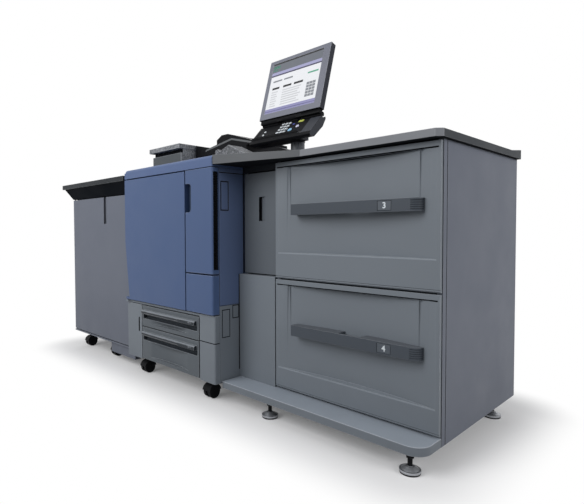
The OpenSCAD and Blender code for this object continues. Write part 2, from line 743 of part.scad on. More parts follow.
module platen_glass() color("#9fb6bd") placed()
    block([glass_x[0] + rail_gap, glass_x[1] - rail_gap], [glass_y[0] + rail_gap, glass_y[1] - rail_gap],
          [scan_top - glass_seat, scan_top - 0.5]);

lid_t = 18;
head_y = scan_y[0] + 110; // front of the feed head, behind the peaked tray cover
head_back = scan_y[1] - 40;
module document_feeder() color("#212326") placed() {
    z0 = scan_top + rail_gap;
    block(scan_x, scan_y, [z0, z0 + lid_t]);
    translate([scan_x[0], 0, z0]) {
        // paper exit at the left
        front_profile([scan_y[0], head_back], [[0, lid_t - 1], [105, lid_t - 1], [100, 32], [0, 55]]);
        // tray cover: rises to a peak and falls to the right, past the lid
        front_profile([scan_y[0], head_y],
                      [[80, lid_t - 1], [89, 24], [287, 57], [433, 22], [431, 12], [395, 8],
                       [380, lid_t - 1]]);
        // feed head at the back
        front_profile([head_y - eps, head_back],
                      [[44, lid_t - 1], [330, lid_t - 1], [330, 52], [201, 95], [135, head_h],
                       [85, head_h], [44, 92]]);
    }
    // hinge lug between the ears
    difference() {
        union() {
            translate([lug_x[0], lid_axis[0], lid_axis[1]]) rotate([0, 90, 0])
                cylinder(r = 9, h = lug_x[1] - lug_x[0]);
            block(lug_x, [lid_axis[0] - 9, lid_axis[0] + 9], [lid_axis[1], z0 + lid_t]);
            block(lug_x, [scan_y[1] - eps, lid_axis[0]], [z0, z0 + lid_t]);
        }
        translate([lug_x[0] - 1, lid_axis[0], lid_axis[1]]) rotate([0, 90, 0])
            cylinder(r = bore_r, h = lug_x[1] - lug_x[0] + 2);
    }
}

// Paper rest on the seam of the cap and the table: a wedge and a low step
function rest_z(x) = x < engine_right ? engine_h : table_z(x);
module paper_rest() color("#9b9ea2") placed()
    front_profile([-105, -20],
                  [for (p = [[-46, 0.3], [0, 0.3], [154, 0.3], [46, 46], [-10, 22], [-24, 33], [-43, 29]])
                      [engine_right + p[0], rest_z(engine_right + p[0]) + p[1]]]);

// ---------------------------------------------------------- control panel

panel_x = -feeder_w + panel_in;
panel_y = 60;
post_at = [panel_x + 34, 86];
spigot_r = 20;
spigot_h = 40;
flute_r = 3;
face_top = [panel_y + 19, monitor_z - 27]; // upper end of the key face, in Y and Z
face_end = [face_top[0] - key_face * cos(key_slope), face_top[1] - key_face * sin(key_slope)];
housing_z = face_end[1] - 18;
housing_x = [panel_x - panel_w / 2, panel_x + panel_w / 2];
tilt_axis = [panel_y + 26, monitor_z - 24];
foot_y = [0, 110];

// Fluted post with a spigot for the swivel, and the low cover over its foot
module panel_post() color("#85888d") placed() {
    translate([post_at[0], post_at[1], surface_z]) {
        difference() {
            cylinder(r = post_r, h = housing_z - surface_z - rail_gap);
            for (a = [15:30:345])
                rotate(a) translate([post_r - flute_d + flute_r, 0, feeder_h - surface_z + 40])
                    cylinder(r = flute_r, h = housing_z, $fn = 24);
        }
        cylinder(r = spigot_r, h = housing_z - surface_z + spigot_h);
    }
    front_profile(foot_y,
                  [for (p = [[-214, 0.3], [-214, 22], [-51, 31], [20, 13], [56, 2], [56, 0.3]])
                      [post_at[0] + p[0], table_z(post_at[0] + p[0]) + p[1]]]);
}

// Place on the sloping key face: u across from its centre, v down from its upper end
module key_place(u, v)
    translate([panel_x, face_top[0], face_top[1]]) rotate([key_slope, 0, 0])
        translate([u, -v, 0]) children();

field_u = [-158, 116];
field_v = [9, 97];
field_d = 1.2;
ear_at = 55;
ear_w = 14;
tilt_pin_r = 5;
hub_h = 45;
relief_r = barrel_r + 5.5;

module key_housing() color("#1b1d20") placed() {
    difference() {
        union() {
            side_profile(housing_x,
                         [face_top, face_end, face_end - [5, 10], [face_end[0] + 2, housing_z],
                          [face_end[0] + 24, housing_z], [face_top[0] + 1, housing_z + 48],
                          [face_top[0] + 21, face_top[1] - 15], [face_top[0] + 19, face_top[1] - 7]]);
            block([housing_x[0] + 8, panel_x + 100], [face_end[0] + 3, face_top[0] - 1],
                  [housing_z, housing_z + 36]);
            translate([post_at[0], post_at[1], housing_z]) cylinder(r = post_r + 2, h = hub_h);
        }
        translate([post_at[0], post_at[1], housing_z - 1])
            cylinder(r = spigot_r + rail_gap, h = spigot_h + 3);
        // room for the monitor's hinge barrel
        translate([housing_x[0] - 1, tilt_axis[0], tilt_axis[1]]) rotate([0, 90, 0])
            cylinder(r = relief_r, h = panel_w + 2);
        // sunk key field and the groove below it
        key_place(field_u[0], field_v[1]) translate([0, 0, -field_d])
            cube([field_u[1] - field_u[0], field_v[1] - field_v[0], field_d + 5]);
        key_place(field_u[0], field_v[1] + 7) translate([0, 0, -field_d])
            cube([field_u[1] - field_u[0], 3, field_d + 5]);
    }
    // ears and pin of the tilt hinge
    for (s = [-1, 1])
        block([panel_x + s * ear_at - ear_w / 2, panel_x + s * ear_at + ear_w / 2],
              [tilt_axis[0] - 7, tilt_axis[0] + 7], [tilt_axis[1] - 30, tilt_axis[1] + 7]);
    translate([panel_x - ear_at - 5, tilt_axis[0], tilt_axis[1]]) rotate([0, 90, 0])
        cylinder(r = tilt_pin_r, h = 2 * (ear_at + 5));
}

key = [14, 10, 3];
number_at = [-31, 15];
number_pitch = [19, 20];
module round_key(u, v, r) key_place(u, v) translate([0, 0, -field_d]) cylinder(r = r, h = key[2]);
module panel_keys() color("#c9ced2") placed() {
    for (row = [0:3], col = [0:2])
        key_place(number_at[0] + col * number_pitch[0], number_at[1] + row * number_pitch[1])
            translate([-key[0] / 2, -key[1] / 2, -field_d]) cube(key);
    round_key(38, 70, 10);
    round_key(69, 52, 8);
    round_key(37, 30, 5);
    round_key(-118, 50, 5);
    round_key(-117, 72, 5);
    key_place(71, 17) translate([-13, -6, -field_d]) cube([26, 12, key[2]]);
}

// Monitor on a hinge barrel in three lengths, with the ears of the key housing between them
module leaned() translate([panel_x, panel_y, monitor_z]) rotate([-monitor_lean, 0, 0]) children();
module on_tilt_axis(u) translate([panel_x + u, tilt_axis[0], tilt_axis[1]]) rotate([0, 90, 0]) children();
bezel = [24, 36, 28, 17]; // left, right, bottom and top rims round the screen
barrel_gap = 5.5;
barrel_in = ear_at - ear_w / 2 - barrel_gap;
barrel_out = ear_at + ear_w / 2 + barrel_gap;
web_in = 1; // from a barrel's ends to the web that carries it
barrels = [[-panel_w / 2 + 5, -barrel_out], [-barrel_in, barrel_in], [barrel_out, panel_w / 2 - 5]];
screen_size = [panel_w - bezel[0] - bezel[1], monitor_h - bezel[2] - bezel[3]];

module monitor() color("#7f828c") placed() difference() {
    union() {
        leaned() translate([-panel_w / 2, 0, 0]) cube([panel_w, monitor_t, monitor_h]);
        for (b = barrels) {
            on_tilt_axis(b[0]) cylinder(r = barrel_r, h = b[1] - b[0]);
            leaned() translate([b[0] + web_in, 8, -18]) cube([b[1] - b[0] - 2 * web_in, 20, 20]);
        }
    }
    on_tilt_axis(-barrel_in - 1) cylinder(r = tilt_pin_r + rail_gap, h = 2 * barrel_in + 2);
    leaned() translate([-panel_w / 2 + bezel[0], -1, bezel[2]]) cube([screen_size[0], 4, screen_size[1]]);
}

module screen() color("#c8d0e0") placed()
    leaned() translate([-panel_w / 2 + bezel[0], 1, bezel[2]]) cube([screen_size[0], 2, screen_size[1]]);

// ---------------------------------------------------------------- stacker

stacker_door_t = 18;
stacker_body_y = -stacker_front + stacker_door_t + 12;
stacker_door_z = [stacker_bottom + 6, stacker_h - 6];
stacker_axis = [stacker_left + 12, -stacker_front + stacker_door_t / 2];
stacker_back = -stacker_front + stacker_d;

module stacker_body() color("#6f757e") placed() {
    difference() {
        block([stacker_left, stacker_right], [stacker_body_y, stacker_back], [stacker_bottom, stacker_h]);
        back_groove([stacker_left + panel_margin, stacker_right - panel_margin], stacker_back,
                    [stacker_bottom + panel_margin, stacker_h - panel_margin]);
    }
    // sill that carries the door's lower pin
    difference() {
        block([stacker_left, stacker_edge], [-stacker_front, stacker_body_y + eps],
              [stacker_bottom - 8, stacker_bottom]);
        translate([stacker_axis[0], stacker_axis[1], stacker_bottom - 20]) cylinder(r = bore_r, h = 40);
    }
    // dark skirt under the right-hand part
    block([stacker_edge - 280, stacker_edge], [-stacker_front + 12, stacker_back - 60],
          [45, stacker_bottom - 8 + eps]);
    block([stacker_edge - 280, stacker_edge], [stacker_body_y, stacker_back - 60],
          [stacker_bottom - 8, stacker_bottom + eps]);
}

module stacker_door() color("#737a83") placed() {
    slot_x = stacker_left + 437;
    difference() {
        block([stacker_left + 3, stacker_edge - 3], [-stacker_front, -stacker_front + stacker_door_t],
              stacker_door_z);
        block([slot_x, slot_x + 34], [-stacker_front - 1, -stacker_front + 12], [830, stacker_h]);
    }
    for (z = [stacker_door_z[0] - 13, stacker_door_z[1] - eps])
        translate([stacker_axis[0], stacker_axis[1], z]) cylinder(r = pin_r, h = z < 500 ? 20 : 16);
}

module stacker_cornice() color("#1a1b1e") placed() difference() {
    hull() {
        block([stacker_left, stacker_edge], [-stacker_front, stacker_back], [stacker_h, stacker_h + 1]);
        block([stacker_left - 40, stacker_edge], [-stacker_front - 40, stacker_back],
              [stacker_top - stacker_top_t - 1, stacker_top - stacker_top_t]);
    }
    translate([stacker_axis[0], stacker_axis[1], stacker_h - 5]) cylinder(r = bore_r, h = 18);
}

module stacker_surface() color("#3e4145") placed()
    block([line_left, stacker_edge], [-stacker_front - stacker_overhang, stacker_back],
          [stacker_top - stacker_top_t, stacker_top]);

module stacker_casters() color("#17181a") placed()
    for (x = [stacker_left + 90, stacker_right - 330])
        for (y = [-40, stacker_back - 80])
            translate([x, y, 0]) caster(stacker_bottom);

feeder_right_side();
feeder_left_side();
feeder_back();
feeder_top_panel();
feeder_shelf();
feeder_base();
work_surface();
drawer_rails();
drawer_3_front();
drawer_3_handle();
drawer_3_tray();
drawer_4_front();
drawer_4_handle();
drawer_4_tray();
levelling_feet();
foot_pads();
relay_body();
relay_lower_cover();
relay_door();
work_table();
engine_body();
engine_cap();
engine_front_door();
engine_narrow_cover();
engine_lower_cover();
side_louvre();
engine_side_panel();
engine_base();
engine_left_cover();
engine_right_cover();
cassette_1_front();
cassette_1_tray();
cassette_2_front();
cassette_2_tray();
engine_casters();
output_box();
output_box_lid();
scanner();
platen_glass();
document_feeder();
paper_rest();
panel_post();
key_housing();
panel_keys();
monitor();
screen();
stacker_body();
stacker_door();
stacker_cornice();
stacker_surface();
stacker_casters();
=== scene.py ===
"""Finishes, rounded edges and small parts of a digital production printer line."""

import json
import math
from typing import NamedTuple

import bmesh
import bpy
from bpy.props import FloatProperty, FloatVectorProperty, IntProperty, PointerProperty
from bpy.types import Operator, Panel, PropertyGroup
from mathutils import Matrix, Vector


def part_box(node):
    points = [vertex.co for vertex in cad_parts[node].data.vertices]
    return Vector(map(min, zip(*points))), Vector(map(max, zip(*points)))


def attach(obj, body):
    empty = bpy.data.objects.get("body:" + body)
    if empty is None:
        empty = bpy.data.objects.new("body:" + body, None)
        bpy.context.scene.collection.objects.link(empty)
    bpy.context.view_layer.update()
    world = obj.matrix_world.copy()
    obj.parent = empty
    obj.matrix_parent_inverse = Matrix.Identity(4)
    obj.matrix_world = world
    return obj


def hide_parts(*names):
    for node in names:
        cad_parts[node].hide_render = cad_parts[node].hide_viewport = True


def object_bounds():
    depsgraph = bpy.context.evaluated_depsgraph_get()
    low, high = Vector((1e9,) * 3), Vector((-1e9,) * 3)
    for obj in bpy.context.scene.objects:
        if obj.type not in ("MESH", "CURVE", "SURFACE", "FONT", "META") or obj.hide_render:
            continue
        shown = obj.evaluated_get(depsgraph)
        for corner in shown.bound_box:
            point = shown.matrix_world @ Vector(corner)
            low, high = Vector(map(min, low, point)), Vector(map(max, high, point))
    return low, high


bl_info = {
    "name": "Production Printer Line",
    "version": (1, 0, 0),
    "blender": (4, 5, 0),
    "location": "3D View > Sidebar > Printer Line",
    "description": "Finishes and small parts of a production printer with stacker and paper feeder",
    "category": "Object",
}

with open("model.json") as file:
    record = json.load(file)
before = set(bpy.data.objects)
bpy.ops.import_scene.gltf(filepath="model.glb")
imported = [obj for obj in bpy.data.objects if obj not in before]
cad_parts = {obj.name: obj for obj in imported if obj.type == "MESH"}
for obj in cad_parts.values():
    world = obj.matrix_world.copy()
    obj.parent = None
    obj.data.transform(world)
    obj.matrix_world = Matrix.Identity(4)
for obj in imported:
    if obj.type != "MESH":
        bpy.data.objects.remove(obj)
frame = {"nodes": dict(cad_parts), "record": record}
CAD_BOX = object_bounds()
RECORD = frame["record"]
BODY_OF = {node: body for body, nodes in RECORD["behaviour"]["bodies"].items() for node in nodes}
SLOT_OF = {part["node"]: part["material_slot"] for part in RECORD["subparts"]}
HINGE_AT = {joint["name"]: Vector(joint["pos_m"]) for joint in RECORD["behaviour"]["joints"]
            if joint["type"] == "hinge"}

MM = 0.001
COPLANAR = math.radians(0.2)  # faces flatter than this to each other are one face
CREASE = math.radians(28)  # edges sharper than this are rounded
SHADED_CREASE = CREASE * 0.7  # edges sharper than this break the smooth shading
MERGE = 0.01 * MM  # vertices nearer to each other than this are one
SKIN = 0.2 * MM  # points less deep than this lie on a surface, not in its grooves
GROOVE = 3 * MM  # no groove of a panel is deeper
COLOUR, NUMBER = "NodeSocketColor", "NodeSocketFloat"


class Span(NamedTuple):
    """A stretch between two distances, in millimetres."""

    start: float
    end: float

    def holds(self, distance):
        return self.start * MM < distance < self.end * MM


# ------------------------------------------------------------------ settings


def linear(code):
    """Linear colour of a hexadecimal sRGB code."""
    parts = [int(code[i : i + 2], 16) / 255 for i in (0, 2, 4)]
    return tuple(c / 12.92 if c <= 0.04045 else ((c + 0.055) / 1.055) ** 2.4 for c in parts)


def colour_setting(name, code):
    """A colour property whose default is a hexadecimal sRGB code."""
    text = f"Colour of the {name}"
    return FloatVectorProperty(name=name.capitalize(), description=text, subtype="COLOR",
                               size=3, min=0, max=1, default=linear(code))


def number_setting(name, text, default, **limits):
    """A number property that isn't negative."""
    return FloatProperty(name=name, description=text, default=default, **{"min": 0, **limits})


def length_setting(name, text, millimetres):
    """A length property with its default in millimetres."""
    return number_setting(name, text, millimetres * MM, unit="LENGTH")


class PrinterColours(PropertyGroup):
    """Colours of the printer line's finishes"""

    grey_paint: colour_setting("grey sheet panels", "6a6f7b")
    # painted shade: the relay's inner panels under the table are painted very dark
    dark_paint: colour_setting("relay's inner panels", "22252a")
    blue_front: colour_setting("blue front covers", "45597f")
    # painted light: the cap is a lighter copy of the blue front, as its rounding faces up
    blue_cap: colour_setting("blue cap", "4f6289")
    blue_side: colour_setting("blue side cover", "566688")
    grey_cover: colour_setting("lower plastic covers", "737a82")
    # painted light: the base plate's top is a lighter copy of the grey cover, as it faces up
    base_top: colour_setting("base plate's top", "959ea9")
    cassette: colour_setting("cassette fronts", "5f656b")
    pale_plastic: colour_setting("speckled pale plastic", "75787d")
    black_plastic: colour_setting("black plastic", "0f1013")
    laminate: colour_setting("table laminate", "5b5e64")
    laminate_edge: colour_setting("light edge of the work surface", "797c82")
    table_edge: colour_setting("front edge of the work table", "55585c")
    slate: colour_setting("drawer handles", "4a5058")
    bezel: colour_setting("monitor bezel", "6f727f")
    keys: colour_setting("number keys", "dfe6ec")
    start_key: colour_setting("start key", "8fc4e8")
    stop_key: colour_setting("stop key", "dcdcf4")
    clear_key: colour_setting("small violet key", "5a62b0")
    power_key: colour_setting("power key", "c9d36a")
    rubber: colour_setting("rubber pads and tyres", "0e0e10")
    steel: colour_setting("zinc plated steel", "aeb1b6")


class PrinterEdges(PropertyGroup):
    """Radii of the printer line's rounded edges"""

    sheet: length_setting("Sheet edge", "Radius on folded sheet metal", 2.0)
    cover: length_setting("Cover edge", "Radius on moulded covers", 2.6)
    trim: length_setting("Trim edge", "Radius on handles, rails and small parts", 2.5)
    table: length_setting("Table edge", "Radius on the table's laminate slabs", 1.5)
    segments: IntProperty(name="Segments", description="Steps in each rounded edge",
                          min=1, max=6, default=3)


class PrinterPanel(PropertyGroup):
    """Layout of the control panel"""

    lean: FloatProperty(name="Monitor lean", description="Lean of the monitor from the vertical",
                        subtype="ANGLE", default=math.radians(16))
    slope: FloatProperty(name="Key slope", description="Slope of the key face from the horizontal",
                         subtype="ANGLE", default=math.radians(45))
    key_edge: length_setting("Key edge", "Radius on the keys' edges", 0.8)
    key_height: length_setting("Key height", "How far a key stands out of the face", 1.8)
    mark: length_setting("Mark height", "How far a printed mark stands out", 0.3)


class PrinterStage(PropertyGroup):
    """Light, floor and camera"""

    sky: number_setting("Sky", "Strength of the even light all round", 0.36)
    front: number_setting("Front light", "Power of the soft light in front", 110, unit="POWER")
    side: number_setting("Side light", "Power of the soft light at the right", 88, unit="POWER")
    back: number_setting("Back light", "Power of the soft light behind at the left", 45,
                         unit="POWER")
    floor_bounce: number_setting("Floor bounce", "How much light the floor throws back", 0.3, max=1)
    floor_glow: number_setting("Floor glow", "White added to the floor where it is seen", 0.12,
                               max=1)
    shadow_reach: number_setting("Shadow reach", "How far from the object the floor is shaded",
                                 0.34, unit="LENGTH", min=0.1)
    lens: number_setting("Lens", "Focal length in millimetres", 29.14, min=1)


# ------------------------------------------------------------- node networks


class Wiring:
    """Adds nodes to one shader tree and links them."""

    def __init__(self, tree):
        self.tree = tree

    def add(self, kind, feeds=None, **settings):
        made = self.tree.nodes.new("ShaderNode" + kind)
        for key, value in settings.items():
            setattr(made, key, value)
        for key, value in (feeds or {}).items():
            self.feed(made.inputs[key], value)
        return made

    def feed(self, socket, value):
        if isinstance(value, bpy.types.NodeSocket):
            self.tree.links.new(value, socket)
        else:
            socket.default_value = value

    def group(self, name, feeds):
        """A node with a shader group, which is built on its first use."""
        tree = bpy.data.node_groups.get(name) or GROUPS[name](name)
        return self.add("Group", feeds, node_tree=tree)

    def math(self, operation, first, second, clamp=False):
        made = self.add("Math", {0: first, 1: second}, operation=operation, use_clamp=clamp)
        return made.outputs[0]

    def scale(self, vector, share):
        made = self.add("VectorMath", {0: vector, "Scale": share}, operation="SCALE")
        return made.outputs[0]

    def mix(self, share, first, second):
        made = self.add("Mix", {0: share, 6: first, 7: second}, data_type="RGBA")
        return made.outputs[2]

    def noise(self, vector, scale, detail=2.0):
        made = self.add("TexNoise", {"Vector": vector, "Scale": scale, "Detail": detail})
        return made.outputs["Fac"]

    def spread(self, value, low, high, start=0.0, end=1.0):
        made = self.add("MapRange", {0: value, 1: low, 2: high, 3: start, 4: end})
        return made.outputs[0]


def new_group(name, inputs, outputs):
    """An empty shader group, the wiring to fill it, what it is given and what it gives."""
    group = bpy.data.node_groups.new(name, "ShaderNodeTree")
    for label, kind, value in inputs:
        socket = group.interface.new_socket(label, in_out="INPUT", socket_type=kind)
        socket.default_value = value
    for label, kind in outputs:
        group.interface.new_socket(label, in_out="OUTPUT", socket_type=kind)
    wiring = Wiring(group)
    given = group.nodes.new("NodeGroupInput").outputs
    result = group.nodes.new("NodeGroupOutput").inputs
    return group, wiring, given, result


def surface_group(name):
    """Fine grain, uneven tone, paler edges as wear and painted highlight, dust on top, and painted
    shade near the floor.
    """
    group, wire, given, result = new_group(
        name,
        [("Paint", COLOUR, (0.5, 0.5, 0.5, 1)), ("Grain", NUMBER, 600.0), ("Tone", NUMBER, 0.06),
         ("Edge wear", NUMBER, 0.3), ("Roughness", NUMBER, 0.5), ("Dust", NUMBER, 0.05)],
        [("Color", COLOUR), ("Roughness", NUMBER), ("Height", NUMBER)])
    place = wire.add("TexCoord").outputs["Object"]
    geometry = wire.add("NewGeometry")
    # tone drifts slowly over a panel
    drift = wire.noise(place, 1.7, 3.0)
    swing = wire.math("MULTIPLY", wire.math("SUBTRACT", drift, 0.5), given["Tone"])
    light = wire.math("ADD", swing, 1.0)
    toned = wire.scale(given["Paint"], light)
    # rounded edges are a little paler, in patches: partly wear, partly a painted highlight
    worn = wire.add("Attribute", attribute_name="worn").outputs["Fac"]
    patch = wire.spread(wire.noise(place, 35.0, 4.0), 0.35, 0.65, 0.55, 1.0)
    rubbed_and_highlit = wire.math("MULTIPLY", wire.math("MULTIPLY", worn, patch), given["Edge wear"])
    edged = wire.mix(rubbed_and_highlit, toned, (0.62, 0.64, 0.68, 1))
    # dust lies on what faces up
    up = wire.add("SeparateXYZ", {0: geometry.outputs["Normal"]}).outputs["Z"]
    flat = wire.spread(up, 0.6, 0.95)
    specks = wire.spread(wire.noise(place, 220.0, 3.0), 0.3, 0.8, 0.4, 1.0)
    dust = wire.math("MULTIPLY", wire.math("MULTIPLY", flat, specks), given["Dust"])
    dusty = wire.mix(dust, edged, (0.6, 0.6, 0.62, 1))
    # painted shade: darker towards the floor, in patches
    height = wire.add("SeparateXYZ", {0: place}).outputs["Z"]
    low = wire.spread(height, 0.55, 0.05)
    marks = wire.spread(wire.noise(place, 9.0, 4.0), 0.35, 0.75, 0.6, 1.0)
    low_painted_shade = wire.math("MULTIPLY", wire.math("MULTIPLY", low, marks), 0.14)
    final = wire.mix(low_painted_shade, dusty, (0.02, 0.02, 0.022, 1))
    wire.feed(result["Color"], final)
    # finger smudges and dust change the gloss
    smudge = wire.spread(wire.noise(place, 6.0, 5.0), 0.3, 0.7, -0.06, 0.06)
    rough = wire.math("ADD", given["Roughness"], wire.math("ADD", smudge, dust), clamp=True)
    wire.feed(result["Roughness"], rough)
    wire.feed(result["Height"], wire.noise(place, given["Grain"], 3.0))
    return group


def speckle_group(name):
    """Pale and dark flecks of a sprayed or granite-like plastic."""
    group, wire, given, result = new_group(
        name,
        [("Ground", COLOUR, (0.3, 0.3, 0.3, 1)), ("Pale", COLOUR, (0.7, 0.7, 0.7, 1)),
         ("Dark", COLOUR, (0.05, 0.05, 0.05, 1)), ("Scale", NUMBER, 160.0)],
        [("Color", COLOUR), ("Height", NUMBER)])
    place = wire.add("TexCoord").outputs["Object"]
    cells = wire.add("TexVoronoi", {"Vector": place, "Scale": given["Scale"]})
    pick = wire.add("SeparateColor", {0: cells.outputs["Color"]}).outputs
    pale = wire.mix(wire.spread(pick["Red"], 0.66, 0.74, 0.0, 0.75), given["Ground"], given["Pale"])
    both = wire.mix(wire.spread(pick["Green"], 0.74, 0.82, 0.0, 0.7), pale, given["Dark"])
    wire.feed(result["Color"], both)
    wire.feed(result["Height"], cells.outputs["Distance"])
    return group


def brushed_group(name):
    """Fine lines of brushed or drawn metal along X."""
    group, wire, given, result = new_group(
        name,
        [("Metal", COLOUR, (0.6, 0.6, 0.6, 1)), ("Roughness", NUMBER, 0.35)],
        [("Color", COLOUR), ("Roughness", NUMBER), ("Height", NUMBER)])
    place = wire.add("TexCoord").outputs["Object"]
    stretched = wire.add("Mapping", {0: place, 3: (18.0, 320.0, 900.0)}).outputs[0]
    lines = wire.noise(stretched, 1.0, 3.0)
    blotch = wire.noise(place, 40.0, 3.0)
    dulled = wire.spread(blotch, 0.3, 0.7, 0.0, 0.3)
    wire.feed(result["Color"], wire.mix(dulled, given["Metal"], (0.3, 0.3, 0.32, 1)))
    scratches = wire.spread(lines, 0.3, 0.7, -0.08, 0.12)
    wire.feed(result["Roughness"], wire.math("ADD", given["Roughness"], scratches))
    wire.feed(result["Height"], lines)
    return group


GROUPS = {"Worn surface": surface_group, "Flecks": speckle_group, "Brushed lines": brushed_group}


def new_material(name):
    """A new material, its wiring and the sockets of its Principled shader."""
    made = bpy.data.materials.new(name)
    made.use_nodes = True
    return made, Wiring(made.node_tree), made.node_tree.nodes["Principled BSDF"].inputs


def dress(wire, shader, skin, strength, distance=0.6 * MM, relief=None):
    """Feed a group's colour and roughness to the shader, and its height or another's as relief."""
    height = (relief or skin).outputs["Height"]
    bump = wire.add("Bump", {"Height": height, "Strength": strength, "Distance": distance})
    wire.feed(shader["Base Color"], skin.outputs["Color"])
    wire.feed(shader["Roughness"], skin.outputs["Roughness"])
    wire.feed(shader["Normal"], bump.outputs[0])


# ------------------------------------------------------------------ finishes


class Paint(NamedTuple):
    """A painted or moulded finish: one colour, with its grain, paler edges as wear and painted
    highlight, dust, and painted shade near the floor.
    """

    title: str
    colour: str  # the name of a colour setting, or a hexadecimal sRGB code
    roughness: float
    grain: float = 600.0  # grains in a metre
    depth: float = 0.1  # strength of the grain's relief
    wear: float = 0.3  # how far rounded edges are made pale, as wear and as a painted highlight
    dust: float = 0.05
    coat: float = 0.0
    specular: float = 0.3

    def make(self):
        made, wire, shader = new_material(self.title)
        given = {"Paint": shade(self.colour), "Grain": self.grain, "Edge wear": self.wear,
                 "Roughness": self.roughness, "Dust": self.dust}
        skin = wire.group("Worn surface", given)
        dress(wire, shader, skin, self.depth)
        shader["Coat Weight"].default_value = self.coat
        shader["Coat Roughness"].default_value = 0.25
        shader["Specular IOR Level"].default_value = self.specular
        return made


class Flecked(NamedTuple):
    """A sprayed plastic with pale and dark flecks."""

    title: str
    ground: str
    pale: str
    dark: str
    scale: float  # flecks in a metre

    def make(self):
        made, wire, shader = new_material(self.title)
        given = {"Ground": shade(self.ground), "Pale": shade(self.pale),
                 "Dark": shade(self.dark), "Scale": self.scale}
        flecks = wire.group("Flecks", given)
        given = {"Paint": flecks.outputs["Color"], "Roughness": 0.62, "Dust": 0.04}
        skin = wire.group("Worn surface", given)
        dress(wire, shader, skin, 0.2, relief=flecks)
        return made


class Lit(NamedTuple):
    """A backlit display colour with a faint raster."""

    title: str
    colour: str
    strength: float

    def make(self):
        made, wire, shader = new_material(self.title)
        place = wire.add("TexCoord").outputs["Object"]
        fine = wire.add("Mapping", {0: place, 3: (900.0, 900.0, 900.0)}).outputs[0]
        raster = wire.spread(wire.noise(fine, 1.0, 1.0), 0.3, 0.7, 0.93, 1.0)
        lit = wire.scale(linear(self.colour), raster)
        dim = wire.scale(lit, 0.4)
        smears = wire.spread(wire.noise(place, 20.0, 3.0), 0.3, 0.7, 0.12, 0.22)
        wire.feed(shader["Base Color"], dim)
        wire.feed(shader["Emission Color"], lit)
        wire.feed(shader["Roughness"], smears)
        shader["Emission Strength"].default_value = self.strength
        return made


class Plated(NamedTuple):
    """Brushed steel under a thin coat of zinc."""

    title: str
    colour: str

    def make(self):
        made, wire, shader = new_material(self.title)
        lines = wire.group("Brushed lines", {"Metal": shade(self.colour)})
        dress(wire, shader, lines, 0.1, 0.3 * MM)
        shader["Metallic"].default_value = 0.85
        return made


class Glass(NamedTuple):
    """Thick glass with a green tint and a little haze."""

    title: str

    def make(self):
        made, wire, shader = new_material(self.title)
        place = wire.add("TexCoord").outputs["Object"]
        haze = wire.spread(wire.noise(place, 12.0, 4.0), 0.3, 0.7, 0.03, 0.12)
        tint = wire.mix(wire.noise(place, 3.0), (0.42, 0.5, 0.52, 1), (0.5, 0.58, 0.6, 1))
        wire.feed(shader["Roughness"], haze)
        wire.feed(shader["Base Color"], tint)
        shader["Coat Weight"].default_value = 1.0
        return made


